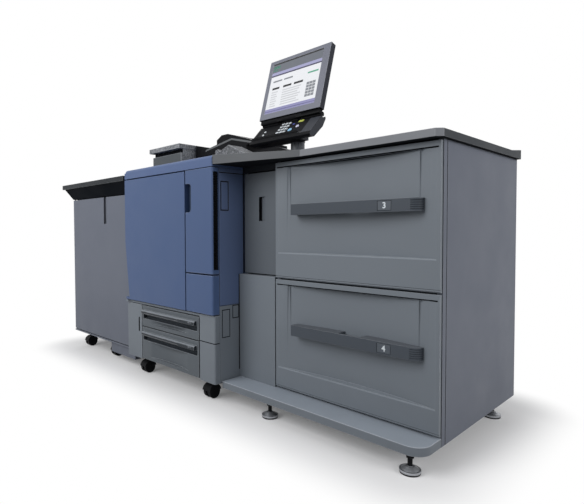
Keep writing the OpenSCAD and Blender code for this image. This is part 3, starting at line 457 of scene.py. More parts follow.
# the names of the record's material slots are among these
FINISHES = {
    "grey_panel": Paint("Grey sheet panel", "grey_paint", 0.5,
                        grain=450, depth=0.12, specular=0.15),
    # painted shade: the relay's inner panels under the table are painted very dark
    "dark_grey_panel": Paint("Dark sheet panel", "dark_paint", 0.6,
                             grain=450, depth=0.12, wear=0.1, specular=0.12),
    "blue_cover": Paint("Blue front cover", "blue_front", 0.46, grain=900, depth=0.14, wear=0.12),
    # painted light: a lighter copy of the blue front for the cap
    "blue_cap": Paint("Blue cap", "blue_cap", 0.46, grain=900, depth=0.14, wear=0.12),
    "blue_side": Paint("Blue side cover", "blue_side", 0.5, grain=900, depth=0.14, wear=0.2),
    "grey_plastic": Paint("Grey plastic cover", "grey_cover", 0.52, grain=800, depth=0.16),
    "black_plastic": Paint("Black plastic", "black_plastic", 0.5,
                           grain=1100, depth=0.18, wear=0.1, dust=0.03, specular=0.07),
    "laminate": Paint("Table laminate", "laminate", 0.38,
                      grain=1500, depth=0.08, wear=0.2, dust=0.08),
    "laminate_edge": Paint("Work surface edge band", "laminate_edge", 0.45,
                           grain=1500, depth=0.08, wear=0.2),
    "table_edge": Paint("Work table edge band", "table_edge", 0.5,
                        grain=1500, depth=0.08, wear=0.2),
    "handle_slate": Paint("Slate handle plastic", "slate", 0.4,
                          grain=1000, depth=0.15, wear=0.45, dust=0.12, specular=0.15),
    "pad_rubber": Paint("Rubber", "rubber", 0.75, grain=1300, depth=0.3, wear=0.08, dust=0.12),
    "key_plastic": Paint("White key plastic", "keys", 0.35,
                         grain=1200, depth=0.1, wear=0.0, dust=0.02),
    "bezel_plastic": Paint("Silver violet bezel", "bezel", 0.36,
                           grain=1400, depth=0.08, wear=0.3, coat=0.15),
    # painted light: a lighter copy of the grey cover for the base plate's upward faces
    "base_top": Paint("Top of the base plate", "base_top", 0.5, grain=800, depth=0.16),
    # painted shade: black for grooves, slots, gaps, the table's underside and the band under the
    # output box's lid
    "seam_black": Paint("Dark seam", "101216", 0.8, wear=0.0, dust=0.0, specular=0.05),
    "laminate_side": Paint("Dark side of the table", "2f3338", 0.5,
                           grain=1500, depth=0.08, wear=0.2, specular=0.15),
    "lip_plastic": Paint("Scoop lip", "868e97", 0.5, grain=800, depth=0.1, wear=0.1),
    "plate_plastic": Paint("Number plate", "4f565f", 0.3, grain=1400, depth=0.06, wear=0.3),
    "fold_shade": Paint("Shaded fold", "3a3f46", 0.7, wear=0.0, dust=0.0, specular=0.1),
    "rib_shade": Paint("Rib grooves", "343940", 0.7, wear=0.0, dust=0.0, specular=0.1),
    # painted shade: the relay door under the table is a darker grey than the covers
    "relay_paint": Paint("Relay door", "5c6269", 0.52, grain=800, depth=0.14),
    "grip_blue": Paint("Grip recess", "27364c", 0.55, grain=900, wear=0.05, dust=0.0),
    "mark_grey": Paint("Grey label marks", "70757c", 0.5,
                       grain=1400, depth=0.05, wear=0.0, dust=0.0),
    "cassette_plastic": Paint("Cassette front", "cassette", 0.5,
                              grain=900, depth=0.15, wear=0.35, specular=0.15),
    "recess_shade": Paint("Hand recess", "434950", 0.6,
                          grain=900, wear=0.05, dust=0.0, specular=0.1),
    "rail_plastic": Paint("Dark grip rail", "2d3238", 0.42,
                          grain=1000, depth=0.15, wear=0.4, specular=0.15),
    "box_grey": Paint("Output box", "454a4e", 0.5, grain=900, depth=0.15),
    # painted highlight on the tray cover's edge; also the pale strip of the key face
    "pale_strip_and_painted_highlight": Paint("Light edge of the tray cover", "5d6062", 0.4,
                       grain=1200, depth=0.1, wear=0.3),
    "post_grey": Paint("Ribbed post", "4d5157", 0.4, grain=1000, depth=0.12, wear=0.5),
    "margin_grey": Paint("Grey margin of the key face", "373a41", 0.5,
                         grain=1000, depth=0.16, wear=0.3, specular=0.15),
    "case_grey": Paint("Monitor case", "2f313a", 0.5,
                       grain=1100, depth=0.14, wear=0.3, specular=0.12),
    "slot_grey": Paint("Grip slot", "565a62", 0.6, wear=0.0, specular=0.1),
    "stacker_top": Paint("Dark top of the stacker", "25292d", 0.45,
                         grain=1500, depth=0.08, wear=0.2, specular=0.12),
    "cornice_black": Paint("Cornice", "060a10", 0.6,
                           grain=900, depth=0.12, wear=0.1, dust=0.02, specular=0.02),
    **{key: Paint(key.replace("_", " ").capitalize(), key, 0.3,
                  grain=1200, depth=0.08, wear=0.0, dust=0.02)
       for key in ("start_key", "stop_key", "clear_key", "power_key")},
    "light_plastic": Flecked("Speckled pale plastic", "pale_plastic", "9b9ea2", "383b40", 210),
    "rest_plastic": Flecked("Speckled paper rest", "53565a", "80838a", "26282c", 190),
    "zinc": Plated("Zinc plated steel", "steel"),
    "platen": Glass("Platen glass"),
    "display_glass": Lit("Lit display field", "eceef2", 0.62),
    # the fields of the screen's layout
    **{field: Lit(f"Display {code}", code, strength) for field, code, strength in (
        ("lit_page", "eceef2", 0.62), ("lit_black", "1d2026", 0.2), ("lit_grey", "6d727c", 0.5),
        ("lit_green", "5fae92", 0.5), ("lit_lilac", "a9a9cf", 0.55), ("lit_plum", "4a4866", 0.4),
        ("lit_key", "8b8f96", 0.5), ("lit_list", "d3d5d9", 0.58), ("lit_violet", "9695c2", 0.5),
        ("lit_line", "73709f", 0.4))},
}
made_finishes = {}


def shade(colour):
    """A colour with its alpha, from the name of a colour setting or a hexadecimal sRGB code."""
    settings = bpy.context.scene.printer_colours
    return (*(getattr(settings, colour) if hasattr(settings, colour) else linear(colour)), 1)


def finish(name):
    """The material of a finish, made only once."""
    if name not in made_finishes:
        made_finishes[name] = FINISHES[name].make()
    return made_finishes[name]


# -------------------------------------------------------------- mesh helpers


def node_shape(node):
    """A CAD node's mesh in a bmesh, merged, with its flat faces joined up."""
    shape = bmesh.new()
    shape.from_mesh(frame["nodes"][node].data)
    bmesh.ops.remove_doubles(shape, verts=shape.verts, dist=MERGE)
    bmesh.ops.dissolve_limit(shape, angle_limit=COPLANAR, verts=shape.verts, edges=shape.edges)
    return shape


def round_edges(shape, radius, segments, keep=None):
    """Round the creased edges, but for those to be kept, and mark the new faces to be paler, as
    wear and as a painted highlight.
    """
    worn = shape.faces.layers.float.get("worn") or shape.faces.layers.float.new("worn")
    edges = [e for e in shape.edges if e.is_manifold and abs(e.calc_face_angle(0)) > CREASE
             and not (keep and keep((e.verts[0].co + e.verts[1].co) / 2))]
    made = bmesh.ops.bevel(shape, geom=edges, offset=radius, offset_type="OFFSET",
                           segments=segments, profile=0.5, affect="EDGES", clamp_overlap=True,
                           material=-1)
    for face in made["faces"]:
        face[worn] = 1.0


def block(shape, low, high):
    """Add a box between two corners."""
    low, high = Vector(low), Vector(high)
    place = Matrix.LocRotScale((low + high) / 2, None, high - low)
    bmesh.ops.create_cube(shape, size=1.0, matrix=place)


def add_piece(name, shape, body, slot, *finishes, stands_for=()):
    """Make a bmesh a finished piece of the object that rides on a body."""
    shape.normal_update()
    data = bpy.data.meshes.new(name)
    shape.to_mesh(data)
    shape.free()
    for surface in finishes:
        data.materials.append(finish(surface))
    data.shade_smooth()
    data.set_sharp_from_angle(angle=SHADED_CREASE)
    piece = bpy.data.objects.new(name, data)
    even = piece.modifiers.new("Even shading", "WEIGHTED_NORMAL")
    even.mode, even.weight, even.keep_sharp = "FACE_AREA", 80, True
    bpy.context.scene.collection.objects.link(piece)
    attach(piece, body)
    if stands_for:
        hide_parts(*stands_for)


def add_eased(node, radius, *finishes, keep=None, paint=(), prepare=None):
    """The node's own shape with rounded edges, in place of the node.

    Edges whose middle passes keep stay sharp. Its finish is its slot's, unless others are given.
    Each test in paint says by centre and normal which faces take the second finish, the third
    and so on.
    """
    shape = node_shape(node)
    if prepare:
        prepare(shape)
    if radius:
        round_edges(shape, radius, bpy.context.scene.printer_edges.segments, keep)
    shape.normal_update()
    for index, test in enumerate(paint, 1):
        for face in shape.faces:
            if test(face.calc_center_median(), face.normal):
                face.material_index = index
    slot = SLOT_OF[node]
    add_piece(node + "_eased", shape, BODY_OF[node], slot, *finishes or (slot,), stands_for=(node,))


def add_grooved(node, axis, radius, surface):
    """A panel with rounded edges; the grooves in one side of it stay sharp and are painted black as
    shade.
    """
    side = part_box(node)[1][axis]

    def groove(point, normal=None):
        return SKIN < side - point[axis] < GROOVE

    add_eased(node, radius, surface, "seam_black", keep=groove, paint=[groove])


def add_text(name, text, size, depth, place, body, surface):
    """Raised figures: a text made a mesh, then put in its place."""
    font = bpy.data.curves.new(name, "FONT")
    font.body = text
    font.size = size
    font.offset = 0 if text == "*" else size * 0.022  # a thickened star would cross itself
    font.extrude = depth / 2
    font.align_x = "CENTER"
    font.align_y = "CENTER"
    holder = bpy.data.objects.new(name + "_text", font)
    bpy.context.scene.collection.objects.link(holder)
    bpy.context.view_layer.update()
    shape = bmesh.new()
    shape.from_mesh(bpy.data.meshes.new_from_object(holder))
    bpy.data.objects.remove(holder)
    bmesh.ops.remove_doubles(shape, verts=shape.verts, dist=MERGE)
    bmesh.ops.transform(shape, matrix=place, verts=shape.verts)
    add_piece(name, shape, body, surface, surface)


def facing_front(at):
    """Place for something flat that faces the front, with its own Y up."""
    return Matrix.Translation(at) @ Matrix.Rotation(math.radians(90), 4, "X")


class PrinterOperator:
    """What every operator of the printer line shares."""

    bl_options = {"REGISTER", "UNDO"}

    @property
    def edges(self):
        return bpy.context.scene.printer_edges


# -------------------------------------------------------------------- pieces


class PRINTER_OT_cabinet(PrinterOperator, Operator):
    """Round the paper feeder's sheet panels and its base plate"""

    bl_idname = "printer.cabinet"
    bl_label = "Feeder cabinet"

    def execute(self, context):
        add_eased("feeder_left_side", self.edges.sheet)
        # painted light: the base's upward faces take the lighter copy of its grey
        add_eased("feeder_base", self.edges.trim, "grey_plastic", "base_top",
                  paint=[lambda centre, normal: normal.z > 0.7])
        for node, axis in (("feeder_right_side", 0), ("feeder_back", 1)):
            add_grooved(node, axis, self.edges.sheet, "grey_panel")
        return {"FINISHED"}


class PRINTER_OT_tables(PrinterOperator, Operator):
    """Round the table slabs and give their front edges a light band"""

    bl_idname = "printer.tables"
    bl_label = "Table tops"

    def execute(self, context):
        sides = (lambda centre, normal: normal.y < -0.35,  # front
                 lambda centre, normal: normal.x > 0.75 and normal.y > -0.3,  # right end
                 lambda centre, normal: normal.z < -0.6)  # underside, painted black as shade
        for node, front in (("work_surface", "laminate_edge"), ("work_table", "table_edge")):
            add_eased(node, self.edges.table, "laminate", front, "laminate_side", "seam_black",
                      paint=sides)
        return {"FINISHED"}


class PRINTER_OT_drawers(PrinterOperator, Operator):
    """Round the scooped drawer fronts and their handles, and add the number plates"""

    bl_idname = "printer.drawers"
    bl_label = "Paper drawers"

    plate_width, plate_height, plate_depth = 50.6 * MM, 31.0 * MM, 1.2 * MM
    plate_from_end = 103.7 * MM  # right edge of the plate from the handle's right end
    seat_margin = 2 * MM  # how far the plate's seat, painted black as shade, shows round it
    figure_size, figure_depth = 29 * MM, 0.4 * MM
    # the fold above the front's lower edge and the groove below its upper edge, with their depths;
    # the walls of both are painted dark as shade
    fold, fold_depth = Span(7, 13), Span(0.2, 3)
    lip, lip_depth = Span(17, 24), Span(0.2, 6)
    end = 40 * MM  # length of a handle's ribbed end
    bend = 34 * MM  # outer radius of the bent end
    rib_depth = Span(0.8, 3)  # how deep under the bend the floors of the grooves lie
    seat_depth = Span(0.5, 2)
    scoop_foot = {3: 110 * MM, 4: 90 * MM}  # the scoop's ledge above the front's lower edge
    scoop_side = 12 * MM  # where the scoop starts, in from the front's side
    scoop_depth, scoop_facets = 34 * MM, 64
    # the rounded strip on the ledge, painted lighter as a highlight: how far it stands out and up,
    # its depth, height and radius
    strip_out, strip_up, strip_depth, strip_height = 0.4 * MM, 0.6 * MM, 6 * MM, 6 * MM
    strip_radius = 2.8 * MM

    def execute(self, context):
        for number in (3, 4):
            self.add_front(f"drawer_{number}_front", self.scoop_foot[number])
            self.add_lip(number)
            self.add_handle(f"drawer_{number}_handle")
            self.add_plate(number)
        return {"FINISHED"}

    def add_front(self, node, foot):
        low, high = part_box(node)

        def in_fold(point):
            return self.fold.holds(point.z - low.z)

        def in_lip(point):
            return self.lip.holds(high.z - point.z)

        def lip_wall(centre, normal):
            return in_lip(centre) and self.lip_depth.holds(centre.y - low.y)

        def fold_wall(centre, normal):
            across = low.x + SKIN < centre.x < high.x - SKIN
            upright = abs(normal.z) < 0.5
            sunk = self.fold_depth.holds(centre.y - low.y)
            return in_fold(centre) and upright and across and sunk

        # painted highlight: the ledge's upward faces take the paler lip finish
        def ledge(centre, normal):
            level = abs(centre.z - low.z - foot) < 3 * MM
            return normal.z > 0.9 and level and centre.y > low.y + 1 * MM

        add_eased(node, self.edges.trim, "grey_plastic", "seam_black", "fold_shade", "lip_plastic",
                  keep=lambda point: in_fold(point) or in_lip(point),
                  paint=(lip_wall, fold_wall, ledge),
                  prepare=lambda shape: self.refine_scoop(shape, low, high))

    def refine_scoop(self, shape, low, high):
        """Cut the scoop into narrow upright facets and set them on its true cylinder."""
        middle, half = (low.x + high.x) / 2, (high.x - low.x) / 2 - self.scoop_side
        radius = (half ** 2 + self.scoop_depth ** 2) / (2 * self.scoop_depth)

        def depth(x):
            return low.y + self.scoop_depth - radius + math.sqrt(radius ** 2 - (x - middle) ** 2)

        def on_scoop(vertex):
            x, y = vertex.co.xy
            return abs(x - middle) < half + 1 * MM and abs(y - depth(x)) < 0.3 * MM

        def facets():
            fronts = [face for face in shape.faces if face.normal.y < -0.9]
            return [face for face in fronts if all(map(on_scoop, face.verts))]

        for i in range(1, self.scoop_facets):
            parts = {part for face in facets() for part in (face, *face.edges, *face.verts)}
            cut = middle - half + 2 * half * i / self.scoop_facets
            bmesh.ops.bisect_plane(shape, geom=list(parts), dist=2 * MERGE,
                                   plane_co=(cut, 0, 0), plane_no=(1, 0, 0))
        for vertex in {vertex for face in facets() for vertex in face.verts}:
            vertex.co.y = depth(vertex.co.x)

    def add_lip(self, number):
        """The rounded upper edge of the flat band below a scoop, painted lighter as a highlight."""
        low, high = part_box(f"drawer_{number}_front")
        top = low.z + self.scoop_foot[number]
        shape = bmesh.new()
        block(shape, (low.x + self.scoop_side, low.y - self.strip_out, top - self.strip_height),
              (high.x - self.scoop_side, low.y + self.strip_depth, top + self.strip_up))
        round_edges(shape, self.strip_radius, 3)
        add_piece(f"drawer_{number}_lip", shape, f"drawer_{number}", "grey_plastic", "lip_plastic")

    def add_handle(self, node):
        low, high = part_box(node)

        def inner(point, normal=None):
            """Where the plate's seat and the ribs are, between the bar's upper and lower edge."""
            between = low.z + 1 * MM < point.z < high.z - 1 * MM
            start = high.x - self.plate_from_end - self.plate_width - self.seat_margin
            return between and point.x > start

        # painted shade: the rib grooves take a darker grey
        def ribs(centre, normal):
            at_end = centre.x > high.x - self.end
            return abs(normal.z) < 0.3 and at_end and self.in_rib(centre, low, high)

        # painted shade: the plate's seat is black
        def plate_seat(centre, normal):
            seated = self.seat_depth.holds(centre.y - low.y)
            before_ribs = centre.x < high.x - self.plate_from_end + self.seat_margin
            return normal.y < -0.9 and seated and inner(centre) and before_ribs

        add_eased(node, self.edges.trim, "handle_slate", "rib_shade", "seam_black", keep=inner,
                  paint=(ribs, plate_seat))

    def in_rib(self, point, low, high):
        """Whether a point lies in a rib groove round the handle's right end."""
        centre = Vector((high.x - self.bend, low.y + self.bend, point.z))
        sunk = self.rib_depth.holds(self.bend - (point - centre).length)
        return sunk and point.y < centre.y

    def add_plate(self, number):
        low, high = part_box(f"drawer_{number}_handle")
        body = f"drawer_{number}"
        right = high.x - self.plate_from_end
        centre = Vector((right - self.plate_width / 2, low.y, (low.z + high.z) / 2))
        half = Vector((self.plate_width / 2, 0, self.plate_height / 2))
        shape = bmesh.new()
        block(shape, centre - half + Vector((0, 0.1 * MM, 0)),
              centre + half + Vector((0, self.plate_depth, 0)))
        round_edges(shape, 0.2 * MM, 1)
        add_piece(f"{body}_plate", shape, body, "handle_slate", "plate_plastic")
        add_text(f"{body}_number", str(number), self.figure_size, self.figure_depth,
                 facing_front(centre), body, "key_plastic")


class PRINTER_OT_relay(PrinterOperator, Operator):
    """Round the relay's lower cover and its access door"""

    bl_idname = "printer.relay"
    bl_label = "Relay"

    # the pull: its left wall from the door's left edge, how far its floor is painted dark as shade,
    # its width and its heights
    pull_left, pull_floor, pull_width, pull_z = 93 * MM, 15 * MM, Span(-1, 46), Span(828, 939)
    corner, seam_foot = 3 * MM, 137 * MM  # width of the strip of painted shade in the corner, and where it starts

    def execute(self, context):
        add_eased("relay_lower_cover", self.edges.sheet)
        low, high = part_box("relay_door")
        wall = low.x + self.pull_left

        # painted shade: the pull's left wall and floor are black
        def dark(centre, normal):
            inside = low.y + 1 * MM < centre.y < high.y - 3 * MM
            end = min(wall + self.pull_floor, high.x - 3 * MM)
            return inside and wall - 1 * MM < centre.x < end

        def pull(point):
            return self.pull_width.holds(point.x - wall) and self.pull_z.holds(point.z)

        add_eased("relay_door", self.edges.sheet, "relay_paint", "seam_black", keep=pull,
                  paint=[dark])
        self.add_corner_seam()
        return {"FINISHED"}

    def add_corner_seam(self):
        """A strip of painted shade up the inner corner where the relay meets the engine."""
        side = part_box("engine_side_panel")[1].x
        cover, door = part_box("relay_lower_cover"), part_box("relay_door")
        shape = bmesh.new()
        for front, foot, top in ((cover[0].y, self.seam_foot, cover[1].z),
                                 (door[0].y, cover[1].z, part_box("work_table")[0].z)):
            block(shape, (side, front - self.corner, foot),
                  (side + self.corner, front + 1 * MM, top))
        add_piece("relay_corner_seam", shape, "line_frame", "black_plastic", "seam_black")


class PRINTER_OT_engine(PrinterOperator, Operator):
    """Round the engine's cap, doors and covers"""

    bl_idname = "printer.engine"
    bl_label = "Print engine"

    # heights are from the floor, X and Y from the cover's lower left front corner
    louvre_in, louvre_z = 12 * MM, Span(609, 1052)  # in from the narrow cover's right side
    grip_x, grip_y, grip_z = 60 * MM, Span(6, 25), Span(872, 1006)
    cassette_seam = Span(274, 280)
    slot_x, slot_z = Span(111, 125), Span(239, 318)  # the left cover's upright slot, painted black as shade

    def execute(self, context):
        for node in ("engine_front_door", "engine_lower_cover"):
            add_eased(node, self.edges.cover)
        self.add_left_cover()
        add_eased("engine_cap", self.edges.sheet, "blue_cap")
        self.add_narrow_cover()
        add_grooved("engine_side_panel", 0, self.edges.sheet, "blue_side")
        add_grooved("engine_base", 0, None, "grey_plastic")
        add_grooved("engine_body", 1, None, "blue_side")

        # painted shade: the seam's groove is black
        def seam(point, normal=None):
            return self.cassette_seam.holds(point.z)

        add_eased("engine_right_cover", self.edges.cover, "grey_plastic", "seam_black",
                  keep=seam, paint=[seam])
        return {"FINISHED"}

    def add_left_cover(self):
        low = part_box("engine_left_cover")[0]

        def slot(point, normal=None):
            return self.slot_x.holds(point.x - low.x) and self.slot_z.holds(point.z)

        add_eased("engine_left_cover", self.edges.sheet, "grey_plastic", "seam_black", keep=slot,
                  paint=[slot])

    def add_narrow_cover(self):
        low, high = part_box("engine_narrow_cover")

        def louvre(point):
            across = low.y + 7 * MM < point.y < high.y - 3 * MM
            return across and point.x > high.x - self.louvre_in and self.louvre_z.holds(point.z)

        # painted shade: the grip recess is a darker blue
        def grip(centre, normal):
            sunk = self.grip_y.holds(centre.y - low.y)
            return sunk and centre.x < low.x + self.grip_x and self.grip_z.holds(centre.z)

        add_eased("engine_narrow_cover", self.edges.cover, "blue_cover", "grip_blue", keep=louvre,
                  paint=[grip])


class PRINTER_OT_cassettes(PrinterOperator, Operator):
    """Round the cassette fronts and their grip rails"""

    bl_idname = "printer.cassettes"
    bl_label = "Cassettes"

    # places below the front's upper edge, and in from its foremost plane
    rail_down, rail_in = Span(13, 47), 17.5 * MM
    recess_down, recess_in = Span(44, 71), Span(19, 43)
    rim_down, rim_in = Span(14, 30), 16 * MM
    ledge_down, ledge_in = Span(42, 46), 15 * MM
    bars = ((62, 12), (46, 3), (40, 3))  # left edge from the right end, and width, in millimetres
    bar_down, bar_height, bar_depth = 34 * MM, 7 * MM, 0.3 * MM
    bar_out = 0.05 * MM  # how far the bars stand out of the front's foremost plane

    def execute(self, context):
        for number in (1, 2):
            self.add_front(number)
            self.add_marks(number)
        return {"FINISHED"}

    def add_front(self, number):
        node = f"cassette_{number}_front"
        low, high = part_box(node)

        def rail(centre, normal):
            near = centre.y < low.y + self.rail_in
            return near and normal.z < 0.5 and self.rail_down.holds(high.z - centre.z)

        # painted shade: the hand recess is darker
        def recess(centre, normal):
            sunk = self.recess_in.holds(centre.y - low.y)
            return sunk and self.recess_down.holds(high.z - centre.z)

        # painted highlight: the slanted rim above the rail takes the paler grey
        def rim(centre, normal):
            near = centre.y < low.y + self.rim_in
            slanted = normal.z > 0.3 and normal.y < -0.15
            return near and slanted and self.rim_down.holds(high.z - centre.z)

        def ledge(point):
            """The step between the rail and the recess below it, too narrow to round."""
            return point.y > low.y + self.ledge_in and self.ledge_down.holds(high.z - point.z)

        add_eased(node, self.edges.trim, "cassette_plastic", "rail_plastic", "recess_shade",
                  "grey_plastic", keep=ledge, paint=(rail, recess, rim))

    def add_marks(self, number):
        """A pale label field and two plain bars at the right end of the grip rail."""
        low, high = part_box(f"cassette_{number}_front")
        shape = bmesh.new()
        for left, width in self.bars:
            start = Vector((high.x - left * MM, low.y - self.bar_out, high.z - self.bar_down))
            block(shape, start, start + Vector((width * MM, self.bar_depth, self.bar_height)))
        add_piece(f"cassette_{number}_marks", shape, f"cassette_{number}", "key_plastic",
                  "mark_grey")


class PRINTER_OT_devices(PrinterOperator, Operator):
    """Round the output box, the scanner with its document feeder, and the paper rest"""

    bl_idname = "printer.devices"
    bl_label = "Devices on the engine"

    shadow_down, shadow_in = 22.5 * MM, 15 * MM  # the shaded band under the output box's lid
    # upper outline of the tray cover's front in millimetres, across and up from its corner
    outline = ((82, 19), (91, 23), (287, 55.5), (431, 21))
    rim_height, rim_depth, rim_out = 9 * MM, 0.8 * MM, 0.3 * MM

    def execute(self, context):
        add_eased("output_box_lid", self.edges.cover)
        add_eased("scanner", self.edges.trim)
        add_eased("paper_rest", self.edges.trim, "rest_plastic")
        self.add_box()
        add_eased("document_feeder", self.edges.table)
        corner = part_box("document_feeder")[0]
        self.add_rim(Vector((corner.x, corner.y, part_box("scanner")[1].z + 0.5 * MM)))
        return {"FINISHED"}

    def add_box(self):
        low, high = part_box("output_box")

        def shadow(centre, normal):
            upper = centre.z > high.z - self.shadow_down
            return upper and centre.y < low.y + self.shadow_in and normal.x < 0.6

        add_eased("output_box", self.edges.trim, "box_grey", "light_plastic", "seam_black",
                  paint=(lambda centre, normal: normal.x > 0.6, shadow))

    def add_rim(self, corner):
        """A painted highlight: a light band along the upper edge of the peaked tray cover."""
        up, back = Vector((0, 0, self.rim_height)), Vector((0, self.rim_depth, 0))
        shape = bmesh.new()
        rings = []
        for x, z in self.outline:
            at = corner + Vector((x * MM, -self.rim_out, z * MM))
            rings.append([shape.verts.new(v) for v in (at, at - up, at - up + back, at + back)])
        for ring, following in zip(rings, rings[1:]):
            for i, j in ((1, 0), (1, 2), (2, 3), (3, 0)):
                shape.faces.new((ring[i], ring[j], following[j], following[i]))
        shape.faces.new(rings[0])
        shape.faces.new(rings[-1][::-1])
        bmesh.ops.recalc_face_normals(shape, faces=shape.faces)
        add_piece("tray_cover_rim", shape, "feeder_lid", "light_plastic", "pale_strip_and_painted_highlight")


class PRINTER_OT_control_panel(PrinterOperator, Operator):
    """Round the panel's housings and add the key face's fields and the screen's layout"""

    bl_idname = "printer.control_panel"
    bl_label = "Control panel"

    # fields of the screen as shares of its width and of its height from the top:
    # left, right, top, bottom, finish
    bands = (
        (0.00, 1.00, 0.000, 0.030, "lit_black"), (0.00, 1.00, 0.030, 0.185, "lit_grey"),
        (0.01, 0.15, 0.055, 0.110, "lit_green"), (0.01, 0.11, 0.130, 0.155, "lit_green"),
        (0.00, 1.00, 0.185, 0.240, "lit_lilac"), (0.00, 1.00, 0.240, 0.268, "lit_plum"),
        (0.00, 1.00, 0.915, 1.000, "lit_violet"), (0.00, 1.00, 0.960, 0.975, "lit_line"),
    )
    # the same, for marks that lie on those fields
    marks = (
        (0.06, 0.25, 0.36, 0.39, "lit_key"), (0.29, 0.47, 0.36, 0.39, "lit_key"),
        (0.77, 0.97, 0.38, 0.41, "lit_green"), (0.07, 0.22, 0.50, 0.54, "lit_black"),
        (0.30, 0.47, 0.50, 0.54, "lit_black"), (0.52, 0.70, 0.50, 0.54, "lit_black"),
    )
    shades = ("lit_page", "lit_black", "lit_grey", "lit_green", "lit_lilac", "lit_plum", "lit_key",
              "lit_list", "lit_violet", "lit_line")
    list_rows, list_top, list_pitch, list_height = 7, 0.58, 0.046, 0.024
    pad_rows, pad_columns = 5, 3
    pad_corner, pad_pitch, pad_key = (0.785, 0.575), (0.058, 0.057), (0.052, 0.047)
    screen_thickness = 2 * MM
    post_radius = 35 * MM  # round the swivel's axis, all that belongs to the post
    hinge_radius = 24 * MM  # round the tilt's axis, all that belongs to the hinge
    foot_height, foot_in = 50 * MM, 8 * MM  # the key housing's foot, up and in from its front
    face_length, face_half = 111 * MM, 172 * MM  # the key face down its slope, and half its width
    # fields on the key face: two corners in its own frame in millimetres, and the finish
    fields = (("key_field_strip", (-157.6, -103.7, -1.2), (115.6, -101.3, 0.2), "pale_strip_and_painted_highlight"),
              ("key_field_margin", (117.5, -106, -0.2), (171, -10, 0.3), "margin_grey"))
    # right-hand bridge below the monitor: two corners in the monitor's frame in millimetres
    bridge = ((41, 8, -18), (69, 21, 0.5))

    def execute(self, context):
        self.panel = context.scene.printer_panel
        self.add_post()
        self.add_key_housing()
        self.add_monitor()
        self.add_screen()
        return {"FINISHED"}

    def add_post(self):
        swivel = HINGE_AT["panel_swivel"]

        def near_post(point, normal=None):
            return (point - swivel).xy.length < self.post_radius

        add_eased("panel_post", self.edges.trim, "black_plastic", "post_grey", keep=near_post,
                  paint=[near_post])

    def add_key_housing(self):
        """Black key field, grey margin at its right and a pale strip in the groove below it."""
        tilt = HINGE_AT["monitor_tilt"]
        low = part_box("key_housing")[0]
        place = key_frame(self.panel)
        back = place.inverted()

        def keep(point):
            on_face = back @ point
            near_axis = (point - tilt).yz.length < self.hinge_radius
            on_field = -self.face_length < on_face.y < 0 and abs(on_face.x) < self.face_half
            in_foot = point.z < low.z + self.foot_height and point.y > low.y + self.foot_in
            return near_axis or (abs(on_face.z) < 2.5 * MM and on_field) or in_foot

        add_eased("key_housing", self.edges.trim, "black_plastic", "margin_grey", keep=keep,
                  paint=[lambda centre, normal: normal.x > 0.5])
        for name, lower, upper, surface in self.fields:
            shape = bmesh.new()
            block(shape, Vector(lower) * MM, Vector(upper) * MM)
            round_edges(shape, 0.15 * MM, 1)
            bmesh.ops.transform(shape, matrix=place, verts=shape.verts)
            add_piece(name, shape, "panel_head", "light_plastic", surface)

    def add_monitor(self):
        """Silver bezel, dark case and a black hinge below it."""
        place = monitor_frame(self.panel)
        back = place.inverted()

        def below(point):
            return (back @ point).z < 1.5 * MM

        add_eased("monitor", self.edges.trim, "bezel_plastic", "case_grey", "black_plastic",
                  keep=below, paint=(lambda centre, normal: normal.y > -0.6,
                                     lambda centre, normal: (back @ centre).z < SKIN))
        shape = bmesh.new()
        (left, front, foot), (right, rear, top) = self.bridge
        for start, end in ((-right, -left), (left, right)):
            block(shape, Vector((start, front, foot)) * MM, Vector((end, rear, top)) * MM)
        bmesh.ops.transform(shape, matrix=place, verts=shape.verts)
        add_piece("hinge_bridges", shape, "monitor_head", "black_plastic", "black_plastic")

    def screen_place(self):
        """Frame of the screen: X right, Y up, Z out of it, from its lower left corner; its size."""
        low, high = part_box("screen")
        lean = self.panel.lean
        rise = self.screen_thickness * math.sin(lean)
        height = (high.z - low.z - rise) / math.cos(lean)
        corner = Matrix.Translation((low.x, low.y, low.z + rise))
        return corner @ Matrix.Rotation(math.radians(90) - lean, 4, "X"), high.x - low.x, height

    def screen_fields(self):
        """Left, right, top, bottom, finish and layer of every field of the screen."""
        rows = [(*row, 0) for row in self.bands] + [(*row, 1) for row in self.marks]
        for i in range(self.list_rows):
            top = self.list_top + i * self.list_pitch
            for left, right in ((0.07, 0.20 - 0.02 * (i % 2)), (0.30, 0.68 - 0.03 * (i % 3))):
                rows.append((left, right, top, top + self.list_height, "lit_list", 1))
        for i in range(self.pad_rows):
            for j in range(self.pad_columns):
                left = self.pad_corner[0] + j * self.pad_pitch[0]
                top = self.pad_corner[1] + i * self.pad_pitch[1]
                right, bottom = left + self.pad_key[0], top + self.pad_key[1]
                rows.append((left, right, top, bottom, "lit_key", 1))
        return rows

    def add_screen(self):
        place, width, height = self.screen_place()
        layer_height = self.panel.mark * 0.5
        shape = bmesh.new()
        for left, right, top, bottom, surface, layer in self.screen_fields():
            start = len(shape.faces)
            base = layer * layer_height
            block(shape, (left * width, (1 - bottom) * height, base),
                  (right * width, (1 - top) * height, base + layer_height))
            shape.faces.ensure_lookup_table()
            for face in shape.faces[start:]:
                face.material_index = self.shades.index(surface)
        bmesh.ops.transform(shape, matrix=place, verts=shape.verts)
        add_piece("screen_layout", shape, "monitor_head", "display_glass", *self.shades)


# upper edges of the key face and lower front edge of the monitor, from the tilt's axis: Y, Z
KEY_FACE_FROM_TILT = (-7 * MM, -3 * MM)
MONITOR_FROM_TILT = (-26 * MM, 24 * MM)


